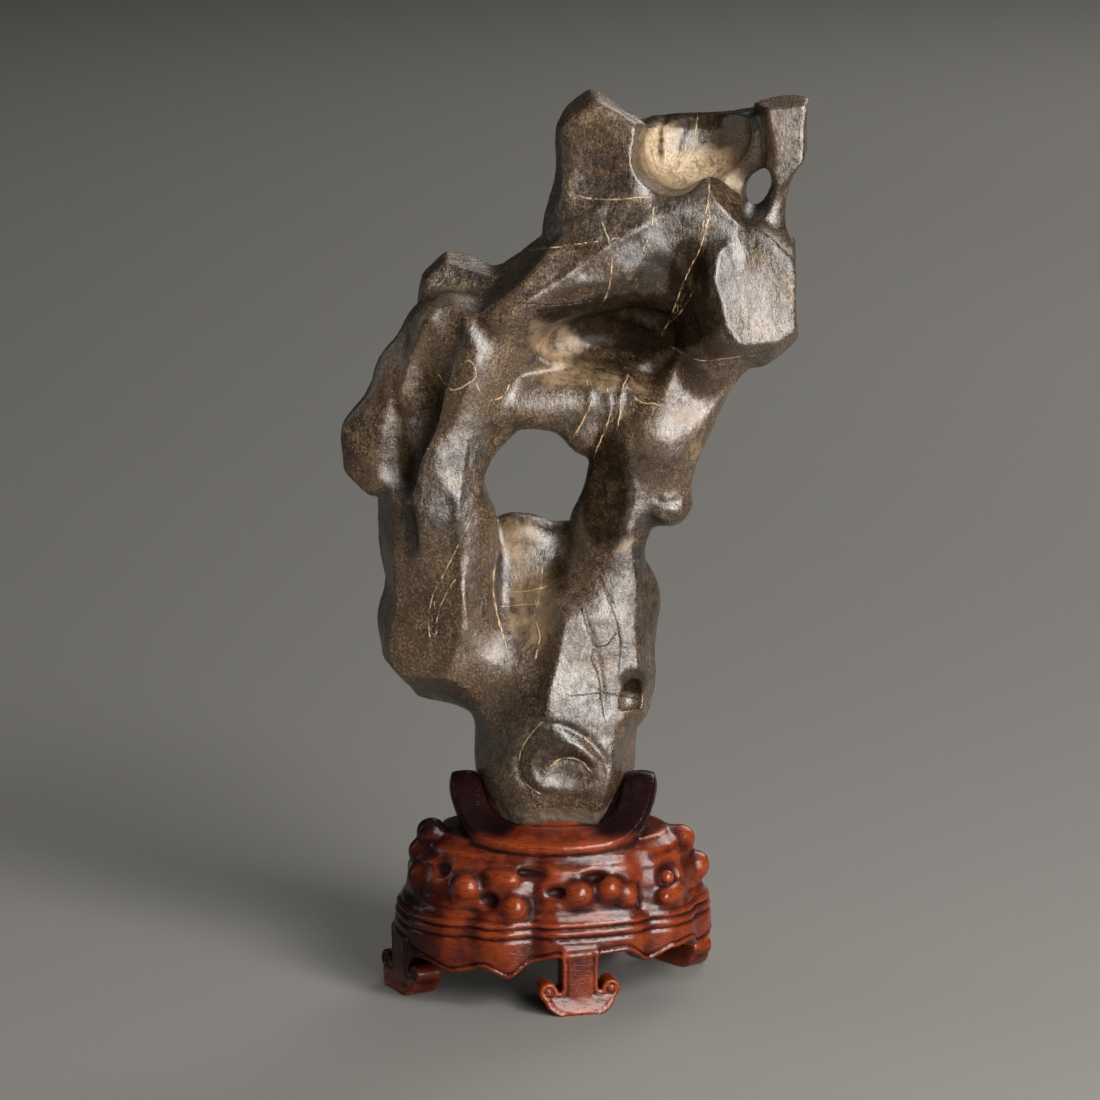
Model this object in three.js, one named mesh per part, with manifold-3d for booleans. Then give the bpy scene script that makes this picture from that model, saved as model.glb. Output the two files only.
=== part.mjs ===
// A scholar's rock: a pierced, water-worn stone standing on its carved wooden stand.
// Millimetres, +Z up, the front towards -Y, the origin on the surface under the middle of the whole.
import * as THREE from 'three';
import Module from 'manifold-3d';

// Driving dimensions
const stoneMesh = 6.9; // size of the stone's facets
const woodMesh = 5.2; // size of the stand's facets
const socketGap = 0.45; // between the stone's foot and the hollow it stands in

const wholeShift = [-8.2, 2.1, 0]; // from the stand's middle to the middle of the whole
const standCentre = [0.5, -3.0];
const standTurn = 12; // degrees, the right end swung away
const baseHalf = [64.5, 44.5]; // half length and half depth at the bead
const baseSquareness = 2.25;
const shoulderHalf = [46.0, 31.0]; // half sizes of the body's rounded top
const collarHalf = [35.0, 29.5]; // half sizes of the collar's middle line
const collarSquareness = 2.1;
const collarHeight = 67.0; // the collar's middle line in front
const collarRise = 16.0; // how much higher its two ends stand
const collarBand = [7.0, 3.3]; // half width and half thickness of the band
const collarEndThickening = 2.4;
const collarUpsweep = 9; // how suddenly the ends rise
const collarLean = 30; // degrees, the band slopes down outwards
const seatWidth = 20;
const neckFoot = 54.0; // where the wood under the collar begins
const bodyTop = 66.0;
const hollowTop = 27.0; // ceiling of the hollow underneath
const apronWall = 9.0;
const apronTuck = 1.6; // how far the apron draws in at its lower edge
const tuckTop = 26.0;
const tuckHeight = 12.0;
const sideSlope = 0.88; // evens out the distance to a wavy side
const pitBlend = 2.6;
const burlBlend = 3.4;
const cutterSize = 200; // the block that trims the feet flat

// A foot, seen square on: its neck, the oval of its pad, the arches beside it and the two curls.
const footHalfNeck = 7.4;
const footFlare = 2.5; // how far the pad leans out
const padHeight = 6.5;
const padHalf = [14.6, 8.2];
const padTop = 9.5;
const archOffset = 15.4;
const archHeight = 17.8;
const archRadius = 7.8;
const curlOffset = 12.8; // from the middle of a foot to the middle of its curl
const curlHeight = 9.6;
const curlRadius = 3.9;
const flareHeight = 9;
const neckMiddle = 14;
const neckHalfHeight = 13;

// The stone's planed faces: a point on the face, its outward direction, and how hollow it is.
const underRidge = { at: [16, -17, 285], out: [0.12, -0.70, -0.70], hollow: 0.006 };
const bandFace = { at: [20, -17.5, 294], out: [0.26, -0.90, -0.34], hollow: 0.006 };
const overRidge = { at: [8, -17, 289], out: [-0.34, -0.85, 0.40], hollow: 0.004 };
const neckFace = { at: [14, -11, 318], out: [-0.28, -0.93, 0.22], hollow: 0 };
const darkFace = { at: [54, -19.5, 290], out: [-0.54, -0.82, -0.16], hollow: 0.018 };
const bossFace = { at: [66, -27.5, 285], out: [0.47, -0.86, 0.20], hollow: 0.002 };
const limbLeft = { at: [-35, -21, 165], out: [-0.42, -0.905, 0.02], hollow: 0.003 };
const limbRight = { at: [-35, -21, 165], out: [0.74, -0.67, 0.02], hollow: 0.014 };
const upperFront = { at: [-38, -18, 248], out: [-0.30, -0.94, 0.14], hollow: 0.008 };
const upperRight = { at: [-25, -18, 240], out: [0.62, -0.78, -0.05], hollow: 0.008 };
const hornFace = { at: [15, -8.5, 332], out: [-0.25, -0.96, 0.10], hollow: 0.002 };
const hornLeft = { at: [3.5, -2, 335], out: [-0.95, -0.30, 0], hollow: 0.012 };
const hornBackLeft = { at: [1, 8, 335], out: [-0.90, 0.42, 0], hollow: 0.008 };
const brightFace = { at: [15, -22.5, 130], out: [0.30, -0.93, 0.14], hollow: 0.002 };
const valleyFace = { at: [1, -22.5, 138], out: [-0.72, -0.62, 0.30], hollow: 0.008 };
const shoulderFace = { at: [43, -17, 227], out: [0.15, -0.94, 0.30], hollow: -0.004 };

function face(at, out, hollow = 0) {
  return { at, out, hollow };
}

// A round limb from one point to another, squeezed in depth, blended into its neighbours.
function limb(from, to, radii, squeeze, blend, faces = []) {
  return { from, to, radii, squeeze, blend, faces };
}

// A lump with its three half sizes.
function lump(centre, half, blend, faces = [], turn = 0) {
  return { centre, half, blend, faces, turn };
}

const lowerBody = [
  limb([1, 2, 88], [5, 3, 132], [31, 36], 0.85, 4, [
    brightFace, valleyFace,
    face([-20, -20, 104], [-0.45, -0.88, -0.06], 0.01),
    face([-32, -4, 100], [-0.97, -0.20, -0.12]),
    face([34, 0, 112], [0.93, -0.30, -0.22]),
    face([39, 0, 128], [1, -0.20, 0]),
    face([-8, 27, 112], [-0.30, 0.95, 0.12], 0.01),
    face([24, 23, 118], [0.60, 0.80, 0.10], 0.006),
    face([5, -20, 78], [0.05, -0.95, -0.30]),
  ]),
  limb([16, 0, 126], [23, 2, 186], [28, 14], 0.9, 6, [
    face([22, -16, 160], [0.30, -0.93, 0.16], 0.004),
    face([9, -15, 156], [-0.74, -0.60, 0.30], 0.005),
    face([37, 0, 145], [0.97, -0.20, 0.10]),
  ]),
  limb([-26, 13, 163], [8, 13, 163], [25, 24], 0.5, 5),
];

const leftLimb = [
  limb([-46, 0, 138], [-48, 0, 198], [24, 25], 0.95, 5, [
    limbLeft, limbRight,
    face([-66.5, 0, 165], [-1, -0.25, 0]),
    face([-48, -10, 126], [-0.10, -0.42, -0.90], 0.004),
    face([-61, 0, 128], [-0.75, -0.20, -0.65]),
    face([-50, 18, 165], [-0.35, 0.93, 0.10], 0.008),
  ]),
  limb([-48, 0, 198], [-37, 2, 262], [25, 23], 0.95, 5, [
    upperFront, upperRight,
    face([-60, 0, 225], [-1, -0.10, -0.10]),
    face([-40, 19, 235], [-0.10, 0.97, -0.15], 0.008),
  ]),
  limb([-8, 2, 128], [-46, 2, 142], [20, 18], 0.9, 8, [
    face([-24, -19, 125], [0, -0.80, -0.60]),
  ]),
];

const wing = [
  limb([-50, 4, 268], [-60, 3, 250], [9, 10], 1, 4, [face([-58, -4, 255], [-0.45, -0.88, 0.15])]),
  limb([-60, 3, 250], [-70, 3, 226], [10, 12], 1, 4, [face([-66, -8, 236], [-0.35, -0.93, 0.10])]),
  lump([-68, 2, 220], [16, 12, 20], 4, [
    face([-74, -8, 220], [-0.35, -0.93, 0]),
    face([-81.5, 0, 222], [-1, -0.10, 0.03]),
    face([-75, 0, 203.5], [-0.72, 0, -0.70]),
    face([-77, 0, 239], [-0.55, 0, 0.84]),
  ]),
  lump([-37, 14, 279], [20, 16, 23], 3, [
    face([-37, 4, 285], [-0.10, -0.90, 0.45]),
    face([-51.5, 14, 282], [-0.94, -0.10, 0.30]),
    face([-46, 14, 292], [-0.66, -0.10, 0.74]),
    face([-36, 14, 294.5], [0.36, -0.10, 0.93]),
  ]),
];

const neckAndHorn = [
  limb([-14, 4, 276], [22, 4, 306], [19, 24], 0.9, 4, [
    underRidge, overRidge, bandFace,
    face([-14, 0, 293], [-0.62, -0.10, 0.78]),
    face([6, 19, 292], [-0.20, 0.90, 0.40], 0.01),
  ]),
  limb([26, 4, 306], [22, 5, 329], [27, 25], 0.9, 4, [
    neckFace, hornLeft, hornBackLeft,
    face([26, 22, 318], [0.10, 0.97, 0.20]),
  ]),
  limb([21, 5, 326], [20, 5, 346], [26, 24], 0.9, 2, [
    hornFace, hornLeft, hornBackLeft,
    face([2, 0, 349], [-0.90, -0.20, 0.35]),
    face([7, 0, 354], [-0.62, -0.10, 0.78]),
    face([24, 0, 355], [0.47, -0.10, 0.88]),
    face([33.5, 0, 350], [0.95, 0, 0.30]),
    face([26, 19, 345], [0.10, 0.97, 0.15]),
  ]),
];

const middleAndBoss = [
  limb([24, 3, 304], [62, 0, 300], [24, 25], 0.95, 4, [
    underRidge, overRidge, bandFace, darkFace,
    face([64, -14, 324], [0.42, -0.50, 0.76]),
    face([46, -8, 322], [-0.35, -0.50, 0.80]),
    face([52, 21, 298], [0.30, 0.93, -0.10], 0.014),
  ]),
  lump([77, -4, 286], [24, 28, 30], 3, [
    darkFace, bossFace,
    face([80, -16, 262], [0.10, -0.50, -0.86]),
    face([96.5, 0, 283], [1, -0.10, 0]),
    face([84, -12, 309], [0.50, -0.35, 0.80]),
    face([94, -10, 299], [0.75, -0.20, 0.63]),
    face([80, 16, 290], [0.10, 1, 0.10]),
  ]),
  limb([62, -2, 290], [62, -2, 256], [17, 11], 0.9, 4, [darkFace, bossFace]),
  limb([50, -9, 308], [66, -11, 318], [13, 14.5], 0.8, 2, [
    face([57, -20.5, 314], [-0.10, -0.95, 0.25]),
    face([63, -12, 330], [0.72, -0.25, 0.64]),
    face([61, -16, 329], [-0.20, -0.35, 0.92]),
  ]),
];

const rightLimb = [
  limb([61, 2, 254], [43.5, 0, 226], [13, 17], 0.95, 6, [shoulderFace]),
  limb([43.5, 0, 226], [46, 0, 202], [17, 10.5], 0.9, 6, [shoulderFace]),
  lump([45, -3, 198.5], [7, 7.5, 7], 4),
  limb([34, 2, 222], [22, 2, 180], [16, 14], 0.9, 6, [
    face([15, -5, 200], [-0.85, -0.50, 0]),
    face([28, -12, 192], [0.25, -0.95, 0.05]),
  ]),
];

const barAndTopWall = [
  limb([-26, 3, 239], [30, 4, 237], [11, 13], 1, 5),
  lump([14, 3, 227], [9, 10, 10], 5),
  lump([-21, 3, 226], [7, 9, 8], 5),
  lump([-12, 11, 184], [9, 8, 6], 6),
  limb([-20, 16, 262], [50, 16, 262], [18, 18], 0.7, 8),
  limb([42, 23, 340], [80, 22, 342], [22, 23], 0.6, 5, [
    face([60, 20, 350], [-0.10, -0.10, 1]),
    face([60, 10, 320], [0, -0.40, -0.90]),
    face([60, 31, 338], [0.15, 0.95, 0.25], 0.012),
    face([95.5, 22, 340], [0.97, 0.20, -0.10]),
  ]),
  limb([46, 21, 322], [78, 19, 316], [12, 12], 0.7, 5),
  lump([89, 6, 341], [15, 15, 25], 2, [
    face([90, -3, 342], [0.10, -0.98, 0.10]),
    face([98.6, 0, 345], [0.98, -0.10, -0.05]),
    face([90, 0, 356.5], [-0.12, -0.10, 1]),
    face([84, 0, 345], [-1, -0.30, -0.10]),
    face([92.5, 0, 328], [0.75, 0, -0.65]),
  ]),
  limb([89, 4, 332], [87, 3, 305], [4.5, 7], 1, 5),
];

const knobsBehind = [
  lump([-62, 15, 150], [9, 10, 11], 4),
  lump([31, 14, 156], [10, 12, 17], 4),
  lump([30, 18, 208], [9, 8, 13], 5, [], 20),
  lump([-6, 24, 284], [12, 8, 9], 5, [], -30),
];

const stoneMasses = [
  ...lowerBody, ...leftLimb, ...wing, ...neckAndHorn,
  ...middleAndBoss, ...rightLimb, ...barAndTopWall, ...knobsBehind,
];

// What the water took away; turn leans a lump in the picture plane, in degrees.
const stoneHollows = [
  lump([-7, 0, 209], [18.5, 60, 17.5], 3), // the round window
  lump([82, 0, 321], [6, 40, 10], 1.5, [], 12), // the small window
  limb([46.5, -14, 338.5], [49, -14, 385], [15, 19], 1.5, 0.6), // the bowl beside the horn, its mouth
  lump([56, 7, 346], [21.5, 17, 24], 1), // and its inside
  limb([83, -14, 352], [82, -10, 334], [4, 5], 1, 1.5), // the groove beside the slab
  lump([20, -18, 262], [32, 32, 14.5], 1.6, [], -4), // the cave under the neck
  limb([-44, -17.5, 276], [-61, -15.5, 212], [9, 12], 0.7, 2), // the valley behind the wing
  limb([-12, -12, 188], [-9, -30, 124], [13, 8.5], 1, 1.5), // the trough under the window
  lump([34, -17, 119], [5, 8, 5.5], 1, [], 20), // the pocket
  lump([5, -31, 94], [21, 10, 13], 1, [], 18), // the chipped shell
  lump([38, 47, 284], [24, 25, 16], 1.5, [], 18), // the back, from here on
  lump([-47, 40, 214], [12, 21, 27], 1.5, [], -8),
  lump([6, 47, 146], [20, 25, 18], 1.5, [], 12),
  lump([4, 40, 258], [22, 17, 10], 2, [], -6),
  lump([-30, 44, 118], [20, 26, 13], 1.5, [], -20),
  lump([56, 50, 338], [22, 22, 13], 1.5, [], -10),
];

// The stand's outline, in degrees from its right end, counter-clockwise seen from above:
// dents are [place, half width in degrees, depth].
const planDents = [
  [-113, 7, 3.2], [-141, 6, 3.0], [-50, 6, 2.6], [-22, 6, 2.6],
  [28, 7, 3.0], [62, 7, 2.6], [118, 7, 2.6], [152, 7, 3.0],
];
// Feet: where each stands, where it faces, how far it stands in from the outline, and its thickness.
const feet = [
  [-88, -88, 0, 9.5], [18, 28, 0, 9.5], [178, 196, 1.5, 11], [60, 72, 0, 9.5], [120, 108, 0, 9.5],
];
// The apron's lower edge: [place, height].
const apronEdge = [
  [-180, 24], [-170, 24], [-160, 19.5], [-148, 15.5], [-134, 18.5], [-124, 14.5], [-112, 21],
  [-100, 23], [-76, 23.5], [-64, 24], [-50, 18], [-40, 22], [-30, 23], [-20, 18], [0, 23], [25, 22],
  [40, 17], [52, 22], [70, 22], [90, 17], [110, 22], [128, 22], [140, 17], [155, 22], [180, 24],
];
// How far the side has drawn in from the base outline to the shoulder, by height.
const drawIn = [
  [0, 0], [31, 0], [36, 0.03], [38.5, 0.14], [42, 0.24], [48, 0.31],
  [56, 0.46], [61, 0.66], [65, 0.94], [70, 1], [100, 1],
];
// Burls: compass direction from the stand's centre (0 right, -90 front), height,
// half width, half height, half depth, and how far the middle stands out.
const burls = [
  [-171, 65.5, 6.0, 5.5, 6.0, 3.0], [-172, 57, 6.0, 5.6, 5.5, -2.0], [-163, 49, 6.0, 5.5, 5.0, -2.0],
  [-134, 50, 7.0, 7.0, 5.6, -1.8], [-118, 54, 8.0, 3.6, 4.0, -1.3], [-110.5, 43, 5.2, 6.0, 4.6, -1.5],
  [-101, 48, 5.0, 4.5, 3.4, -1.1], [-75, 48, 6.0, 5.5, 4.8, -1.5], [-57, 49.5, 5.6, 5.4, 4.8, -1.5],
  [-48, 46.5, 4.5, 4.5, 3.8, -1.2], [2, 60, 6.5, 5.6, 6.5, -1.5], [3, 48.5, 6.5, 5.6, 5.0, 0],
  [-24, 43.5, 9.0, 4.0, 4.0, -1.3], [132, 50, 7.0, 6.0, 5.0, -1.6], [108, 54, 6.0, 5.0, 4.5, -1.4],
  [82, 47, 8.0, 5.0, 4.5, -1.4], [60, 52, 6.0, 6.0, 5.0, -1.6], [38, 56, 6.0, 5.5, 4.6, -1.5],
  [152, 57, 6.0, 6.0, 5.0, -1.6], [172, 47, 6.0, 5.0, 4.0, -1.3], [20, 46, 5.0, 5.0, 4.0, -1.3],
];
const burlHollows = [
  [-124.5, 45.5, 4.2, 3.6, 3.6, 0.7], [-89, 50.5, 4.8, 2.6, 3.6, 0.7], [-42, 45, 1.8, 5.0, 3.4, 0.7],
  [-26, 51, 6.0, 6.2, 4.5, 0.9], [-103, 56.5, 6.0, 2.0, 2.6, 0.5], [-66, 54, 5.0, 2.2, 2.8, 0.6],
  [-148, 57, 4.0, 4.0, 3.0, 0.6], [95, 50, 4.0, 4.0, 3.4, 0.7], [48, 46, 4.0, 4.0, 3.4, 0.7],
  [120, 46, 3.5, 4.0, 3.4, 0.7],
];
const burlInHollow = [-25, 50, 3.2, 3.2, 3.4, -2.2];

const degree = Math.PI / 180;

function clamp(value, low, high) {
  return Math.min(high, Math.max(low, value));
}

// The smaller of two distances, rounded over a width where they meet.
function softMin(a, b, width) {
  const h = clamp(0.5 + 0.5 * (b - a) / width, 0, 1);
  return b + (a - b) * h - width * h * (1 - h);
}

function softMax(a, b, width) {
  return -softMin(-a, -b, width);
}

// Distance to an ellipsoid from a point given in its own axes.
function ovalDistance(x, y, z, half) {
  const near = Math.hypot(x / half[0], y / half[1], z / half[2]);
  const slope = Math.hypot(x / half[0] ** 2, y / half[1] ** 2, z / half[2] ** 2) + 1e-6;
  return near * (near - 1) / slope;
}

function lumpDistance(p, shape) {
  const x = p[0] - shape.centre[0];
  const z = p[2] - shape.centre[2];
  const c = Math.cos(shape.turn * degree);
  const s = Math.sin(shape.turn * degree);
  return ovalDistance(x * c - z * s, p[1] - shape.centre[1], x * s + z * c, shape.half);
}

function limbDistance(p, shape) {
  const { from, to, radii, squeeze } = shape;
  const along = to.map((value, i) => value - from[i]);
  const offset = p.map((value, i) => value - from[i]);
  const length2 = along[0] ** 2 + along[1] ** 2 + along[2] ** 2;
  const dot = offset[0] * along[0] + offset[1] * along[1] + offset[2] * along[2];
  const t = clamp(dot / length2, 0, 1);
  const dx = offset[0] - along[0] * t;
  const dy = (offset[1] - along[1] * t) / squeeze;
  const dz = offset[2] - along[2] * t;
  return (Math.hypot(dx, dy, dz) - radii[0] - (radii[1] - radii[0]) * t) * squeeze;
}

function faceDistance(p, { at, out, hollow }) {
  const length = Math.hypot(...out);
  const d = p.map((value, i) => value - at[i]);
  const height = (d[0] * out[0] + d[1] * out[1] + d[2] * out[2]) / length;
  const across2 = d[0] ** 2 + d[1] ** 2 + d[2] ** 2 - height ** 2;
  return height - 0.5 * hollow * Math.min(across2, 3600);
}

function shapeDistance(p, shape) {
  let distance = shape.from ? limbDistance(p, shape) : lumpDistance(p, shape);
  for (const plane of shape.faces) {
    distance = softMax(distance, faceDistance(p, plane), 1.4);
  }
  return distance;
}

// A slow waver, so that no edge of the stone runs dead straight.
function waver([x, y, z]) {
  return [
    x + 1.3 * Math.sin(z / 15 + y / 21) + 0.6 * Math.sin(z / 6.1 + x / 17 + 1.1),
    y + 1.3 * Math.sin(x / 17 + z / 19 + 2) + 0.6 * Math.sin(x / 7.7 + z / 8.3),
    z + 1.2 * Math.sin(x / 14 + y / 18 + 4) + 0.6 * Math.sin(x / 6.7 + y / 9 + 0.5),
  ];
}

// Negative inside the stone.
function stoneField(x, y, z) {
  const p = waver([x, y, z]);
  let distance = 1000;
  for (const shape of stoneMasses) {
    distance = softMin(distance, shapeDistance(p, shape), shape.blend);
  }
  for (const shape of stoneHollows) {
    distance = softMax(distance, -shapeDistance(p, shape), shape.blend);
  }
  return distance;
}

// A value that eases from one knot to the next.
function eased(knots, at) {
  let i = 0;
  while (i < knots.length - 2 && at > knots[i + 1][0]) {
    i += 1;
  }
  const t = clamp((at - knots[i][0]) / (knots[i + 1][0] - knots[i][0]), 0, 1);
  return knots[i][1] + (knots[i + 1][1] - knots[i][1]) * t * t * (3 - 2 * t);
}

function wrapDegrees(angle) {
  return ((angle + 180) % 360 + 360) % 360 - 180;
}

// Radius of a squarish oval in a direction.
function ovalRadius(angle, half, squareness) {
  const c = Math.abs(Math.cos(angle * degree)) / half[0];
  const s = Math.abs(Math.sin(angle * degree)) / half[1];
  return (c ** squareness + s ** squareness) ** (-1 / squareness);
}

function baseRadius(place) {
  let radius = ovalRadius(place, baseHalf, baseSquareness);
  for (const [at, halfWidth, depth] of planDents) {
    radius -= depth * Math.exp(-((wrapDegrees(place - at) / halfWidth) ** 2));
  }
  return radius;
}

// How far out the side of the body stands, in a compass direction, at a height.
function sideRadius(compass, z) {
  const low = baseRadius(wrapDegrees(compass - standTurn));
  const high = ovalRadius(compass, shoulderHalf, collarSquareness);
  return low + (high - low) * eased(drawIn, z);
}

function burlDistance(dx, dy, z, burl) {
  const [compass, height, halfWidth, halfHeight, halfDepth, out] = burl;
  const c = Math.cos(compass * degree);
  const s = Math.sin(compass * degree);
  const radial = dx * c + dy * s - sideRadius(compass, height) - out;
  const across = -dx * s + dy * c;
  return ovalDistance(radial, across, z - height, [halfDepth, halfWidth, halfHeight]);
}

function collarDistance(radius, compass, z) {
  const end = Math.abs(Math.cos(compass * degree));
  const middle = ovalRadius(compass, collarHalf, collarSquareness);
  const height = collarHeight + collarRise * end ** collarUpsweep;
  const lean = collarLean * degree * (1 - end ** 4);
  const dr = radius - middle;
  const dz = z - height;
  const across = Math.abs(dr * Math.cos(lean) - dz * Math.sin(lean));
  const through = Math.abs(dr * Math.sin(lean) + dz * Math.cos(lean));
  const thickness = collarBand[1] + collarEndThickening * end ** 6;
  const reach = Math.hypot(across / collarBand[0], through / thickness);
  const square = Math.max(across / collarBand[0], through / thickness);
  const band = ((reach + square) / 2 - 1) * Math.min(collarBand[0], thickness);
  const seat = height + clamp(middle - radius, 0, seatWidth) * Math.tan(lean);
  const neck = softMax(radius - middle - 1, z - seat, 1);
  return softMin(softMax(neck, neckFoot - z, 1), band, 2);
}

// One foot: a neck, a pad and two curls, cut to a thickness; it runs on below the floor to be trimmed.
function footDistance(dx, dy, z, [place, facing, inset, thickness]) {
  const radius = ovalRadius(place, baseHalf, baseSquareness) - inset;
  const at = (place + standTurn) * degree;
  const turned = (facing + standTurn) * degree;
  const px = dx - radius * Math.cos(at);
  const py = dy - radius * Math.sin(at);
  const across = -px * Math.sin(turned) + py * Math.cos(turned);
  const outwards = px * Math.cos(turned) + py * Math.sin(turned);
  const aside = Math.abs(across);
  const neck = softMax(aside - footHalfNeck, Math.abs(z - neckMiddle) - neckHalfHeight, 1.5);
  const pad = softMax(ovalDistance(aside, z - padHeight, 0, [...padHalf, 1]), z - padTop, 1.5);
  const arch = Math.hypot(aside - archOffset, z - archHeight) - archRadius;
  const curl = Math.hypot(aside - curlOffset, z - curlHeight) - curlRadius;
  const outline = softMin(softMax(softMin(neck, pad, 1.5), -arch, 1), curl, 0.8);
  const flare = footFlare * clamp(1 - z / flareHeight, 0, 1) ** 2;
  const slab = softMax(outwards - 0.6 - flare, -(outwards + thickness), 2);
  return softMax(outline, slab, 1.5);
}

// Negative inside the stand.
function standField(x, y, z) {
  const dx = x - standCentre[0];
  const dy = y - standCentre[1];
  const radius = Math.hypot(dx, dy);
  const compass = Math.atan2(dy, dx) / degree;
  const place = wrapDegrees(compass - standTurn);
  const tuck = apronTuck * clamp((tuckTop - z) / tuckHeight, 0, 1) ** 2;
  const side = (radius - sideRadius(compass, z)) * sideSlope + tuck;
  let distance = softMax(side, z - bodyTop, 3);
  distance = softMax(distance, eased(apronEdge, place) - z, 1.5);
  for (const pit of burlHollows) {
    distance = softMax(distance, -burlDistance(dx, dy, z, pit), pitBlend);
  }
  for (const burl of burls) {
    distance = softMin(distance, burlDistance(dx, dy, z, burl), burlBlend);
  }
  distance = softMin(distance, burlDistance(dx, dy, z, burlInHollow), 1.2);
  distance = softMin(distance, collarDistance(radius, compass, z), 1.6);
  const hollow = softMax((radius - baseRadius(place) + apronWall) * sideSlope, z - hollowTop, 3);
  distance = softMax(distance, -hollow, 1);
  for (const foot of feet) {
    distance = softMin(distance, footDistance(dx, dy, z, foot), 1.5);
  }
  return softMax(distance, socketGap - stoneField(x, y, z), 0.2);
}

// Slope of a field at a point, by small steps.
function gradient(field, [x, y, z]) {
  const step = 0.2;
  return [
    (field(x + step, y, z) - field(x - step, y, z)) / (2 * step),
    (field(x, y + step, z) - field(x, y - step, z)) / (2 * step),
    (field(x, y, z + step) - field(x, y, z - step)) / (2 * step),
  ];
}

// Moves a point onto the surface, never further than it is allowed to go.
function settle(field, point, reach) {
  const p = [...point];
  for (let turn = 0; turn < 4; turn += 1) {
    const value = field(...p);
    const slope = gradient(field, p);
    const steep = Math.max(0.25, slope[0] ** 2 + slope[1] ** 2 + slope[2] ** 2);
    for (let i = 0; i < 3; i += 1) {
      p[i] = clamp(p[i] - value * slope[i] / steep, point[i] - reach, point[i] + reach);
    }
  }
  return p;
}

// The eight corners of a cell; bits 1, 2 and 4 of a corner's number are its x, y and z.
const corners = Array.from({ length: 8 }, (unused, n) => [n & 1, (n >> 1) & 1, (n >> 2) & 1]);

// The six sides of a cell, each as four corners in order round it.
const sides = [0, 1, 2].flatMap((axis) => [0, 1].map((level) => {
  const bits = [1 << ((axis + 1) % 3), 1 << ((axis + 2) % 3)];
  const base = level << axis;
  return [base, base + bits[0], base + bits[0] + bits[1], base + bits[1]];
}));

// The skin of a field: one point in every cell that the surface passes, joined across the cells.
function skinOf(field, low, high, cell) {
  const count = low.map((value, i) => Math.ceil((high[i] - value) / cell) + 1);
  const at = (i, j, k) => (i * count[1] + j) * count[2] + k;
  const values = new Float64Array(count[0] * count[1] * count[2]);
  for (let i = 0; i < count[0]; i += 1) {
    for (let j = 0; j < count[1]; j += 1) {
      for (let k = 0; k < count[2]; k += 1) {
        values[at(i, j, k)] = field(low[0] + i * cell, low[1] + j * cell, low[2] + k * cell);
      }
    }
  }
  partDoubtful(values, count, at, cell);
  const points = [];
  const pointOf = new Map();
  for (let i = 0; i < count[0] - 1; i += 1) {
    for (let j = 0; j < count[1] - 1; j += 1) {
      for (let k = 0; k < count[2] - 1; k += 1) {
        const crossing = cellCrossing(values, at, i, j, k);
        if (crossing) {
          const start = crossing.map((value, axis) => low[axis] + (value + [i, j, k][axis]) * cell);
          pointOf.set(at(i, j, k), points.length);
          points.push(settle(field, start, cell * 0.6));
        }
      }
    }
  }
  const faces = [];
  const steps = [[1, 0, 0], [0, 1, 0], [0, 0, 1]];
  for (let i = 1; i < count[0] - 1; i += 1) {
    for (let j = 1; j < count[1] - 1; j += 1) {
      for (let k = 1; k < count[2] - 1; k += 1) {
        for (let axis = 0; axis < 3; axis += 1) {
          const [sx, sy, sz] = steps[axis];
          const inside = values[at(i, j, k)] < 0;
          if (inside !== values[at(i + sx, j + sy, k + sz)] < 0) {
            const u = steps[(axis + 1) % 3];
            const v = steps[(axis + 2) % 3];
            const ring = [[0, 0], [1, 0], [1, 1], [0, 1]].map(([a, b]) => pointOf.get(
              at(i - a * u[0] - b * v[0], j - a * u[1] - b * v[1], k - a * u[2] - b * v[2]),
            ));
            addQuad(faces, points, inside ? ring : ring.reverse());
          }
        }
      }
    }
  }
  return { points, faces };
}

// Whether the corners of a cell that are on one side of the surface hang together along its edges.
function hangTogether(marked) {
  const first = marked.indexOf(true);
  if (first < 0) {
    return true;
  }
  const reached = new Set([first]);
  const waiting = [first];
  while (waiting.length) {
    const corner = waiting.pop();
    for (const step of [1, 2, 4]) {
      const next = corner ^ step;
      if (marked[next] && !reached.has(next)) {
        reached.add(next);
        waiting.push(next);
      }
    }
  }
  return reached.size === marked.filter(Boolean).length;
}

// Fills the corner nearest to the surface wherever two skins would touch inside one cell.
function partDoubtful(values, count, at, cell) {
  let changed = true;
  while (changed) {
    changed = false;
    for (let i = 0; i < count[0] - 1; i += 1) {
      for (let j = 0; j < count[1] - 1; j += 1) {
        for (let k = 0; k < count[2] - 1; k += 1) {
          const places = corners.map(([a, b, c]) => at(i + a, j + b, k + c));
          const inside = places.map((place) => values[place] < 0);
          const outside = inside.map((value) => !value);
          const crossed = sides.some(([a, b, c, d]) => (
            inside[a] === inside[c] && inside[b] === inside[d] && inside[a] !== inside[b]
          ));
          if (crossed || !hangTogether(inside) || !hangTogether(outside)) {
            const open = places.filter((place) => values[place] >= 0);
            open.sort((a, b) => values[a] - values[b]);
            values[open[0]] = -0.02 * cell;
            changed = true;
          }
        }
      }
    }
  }
}

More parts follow.
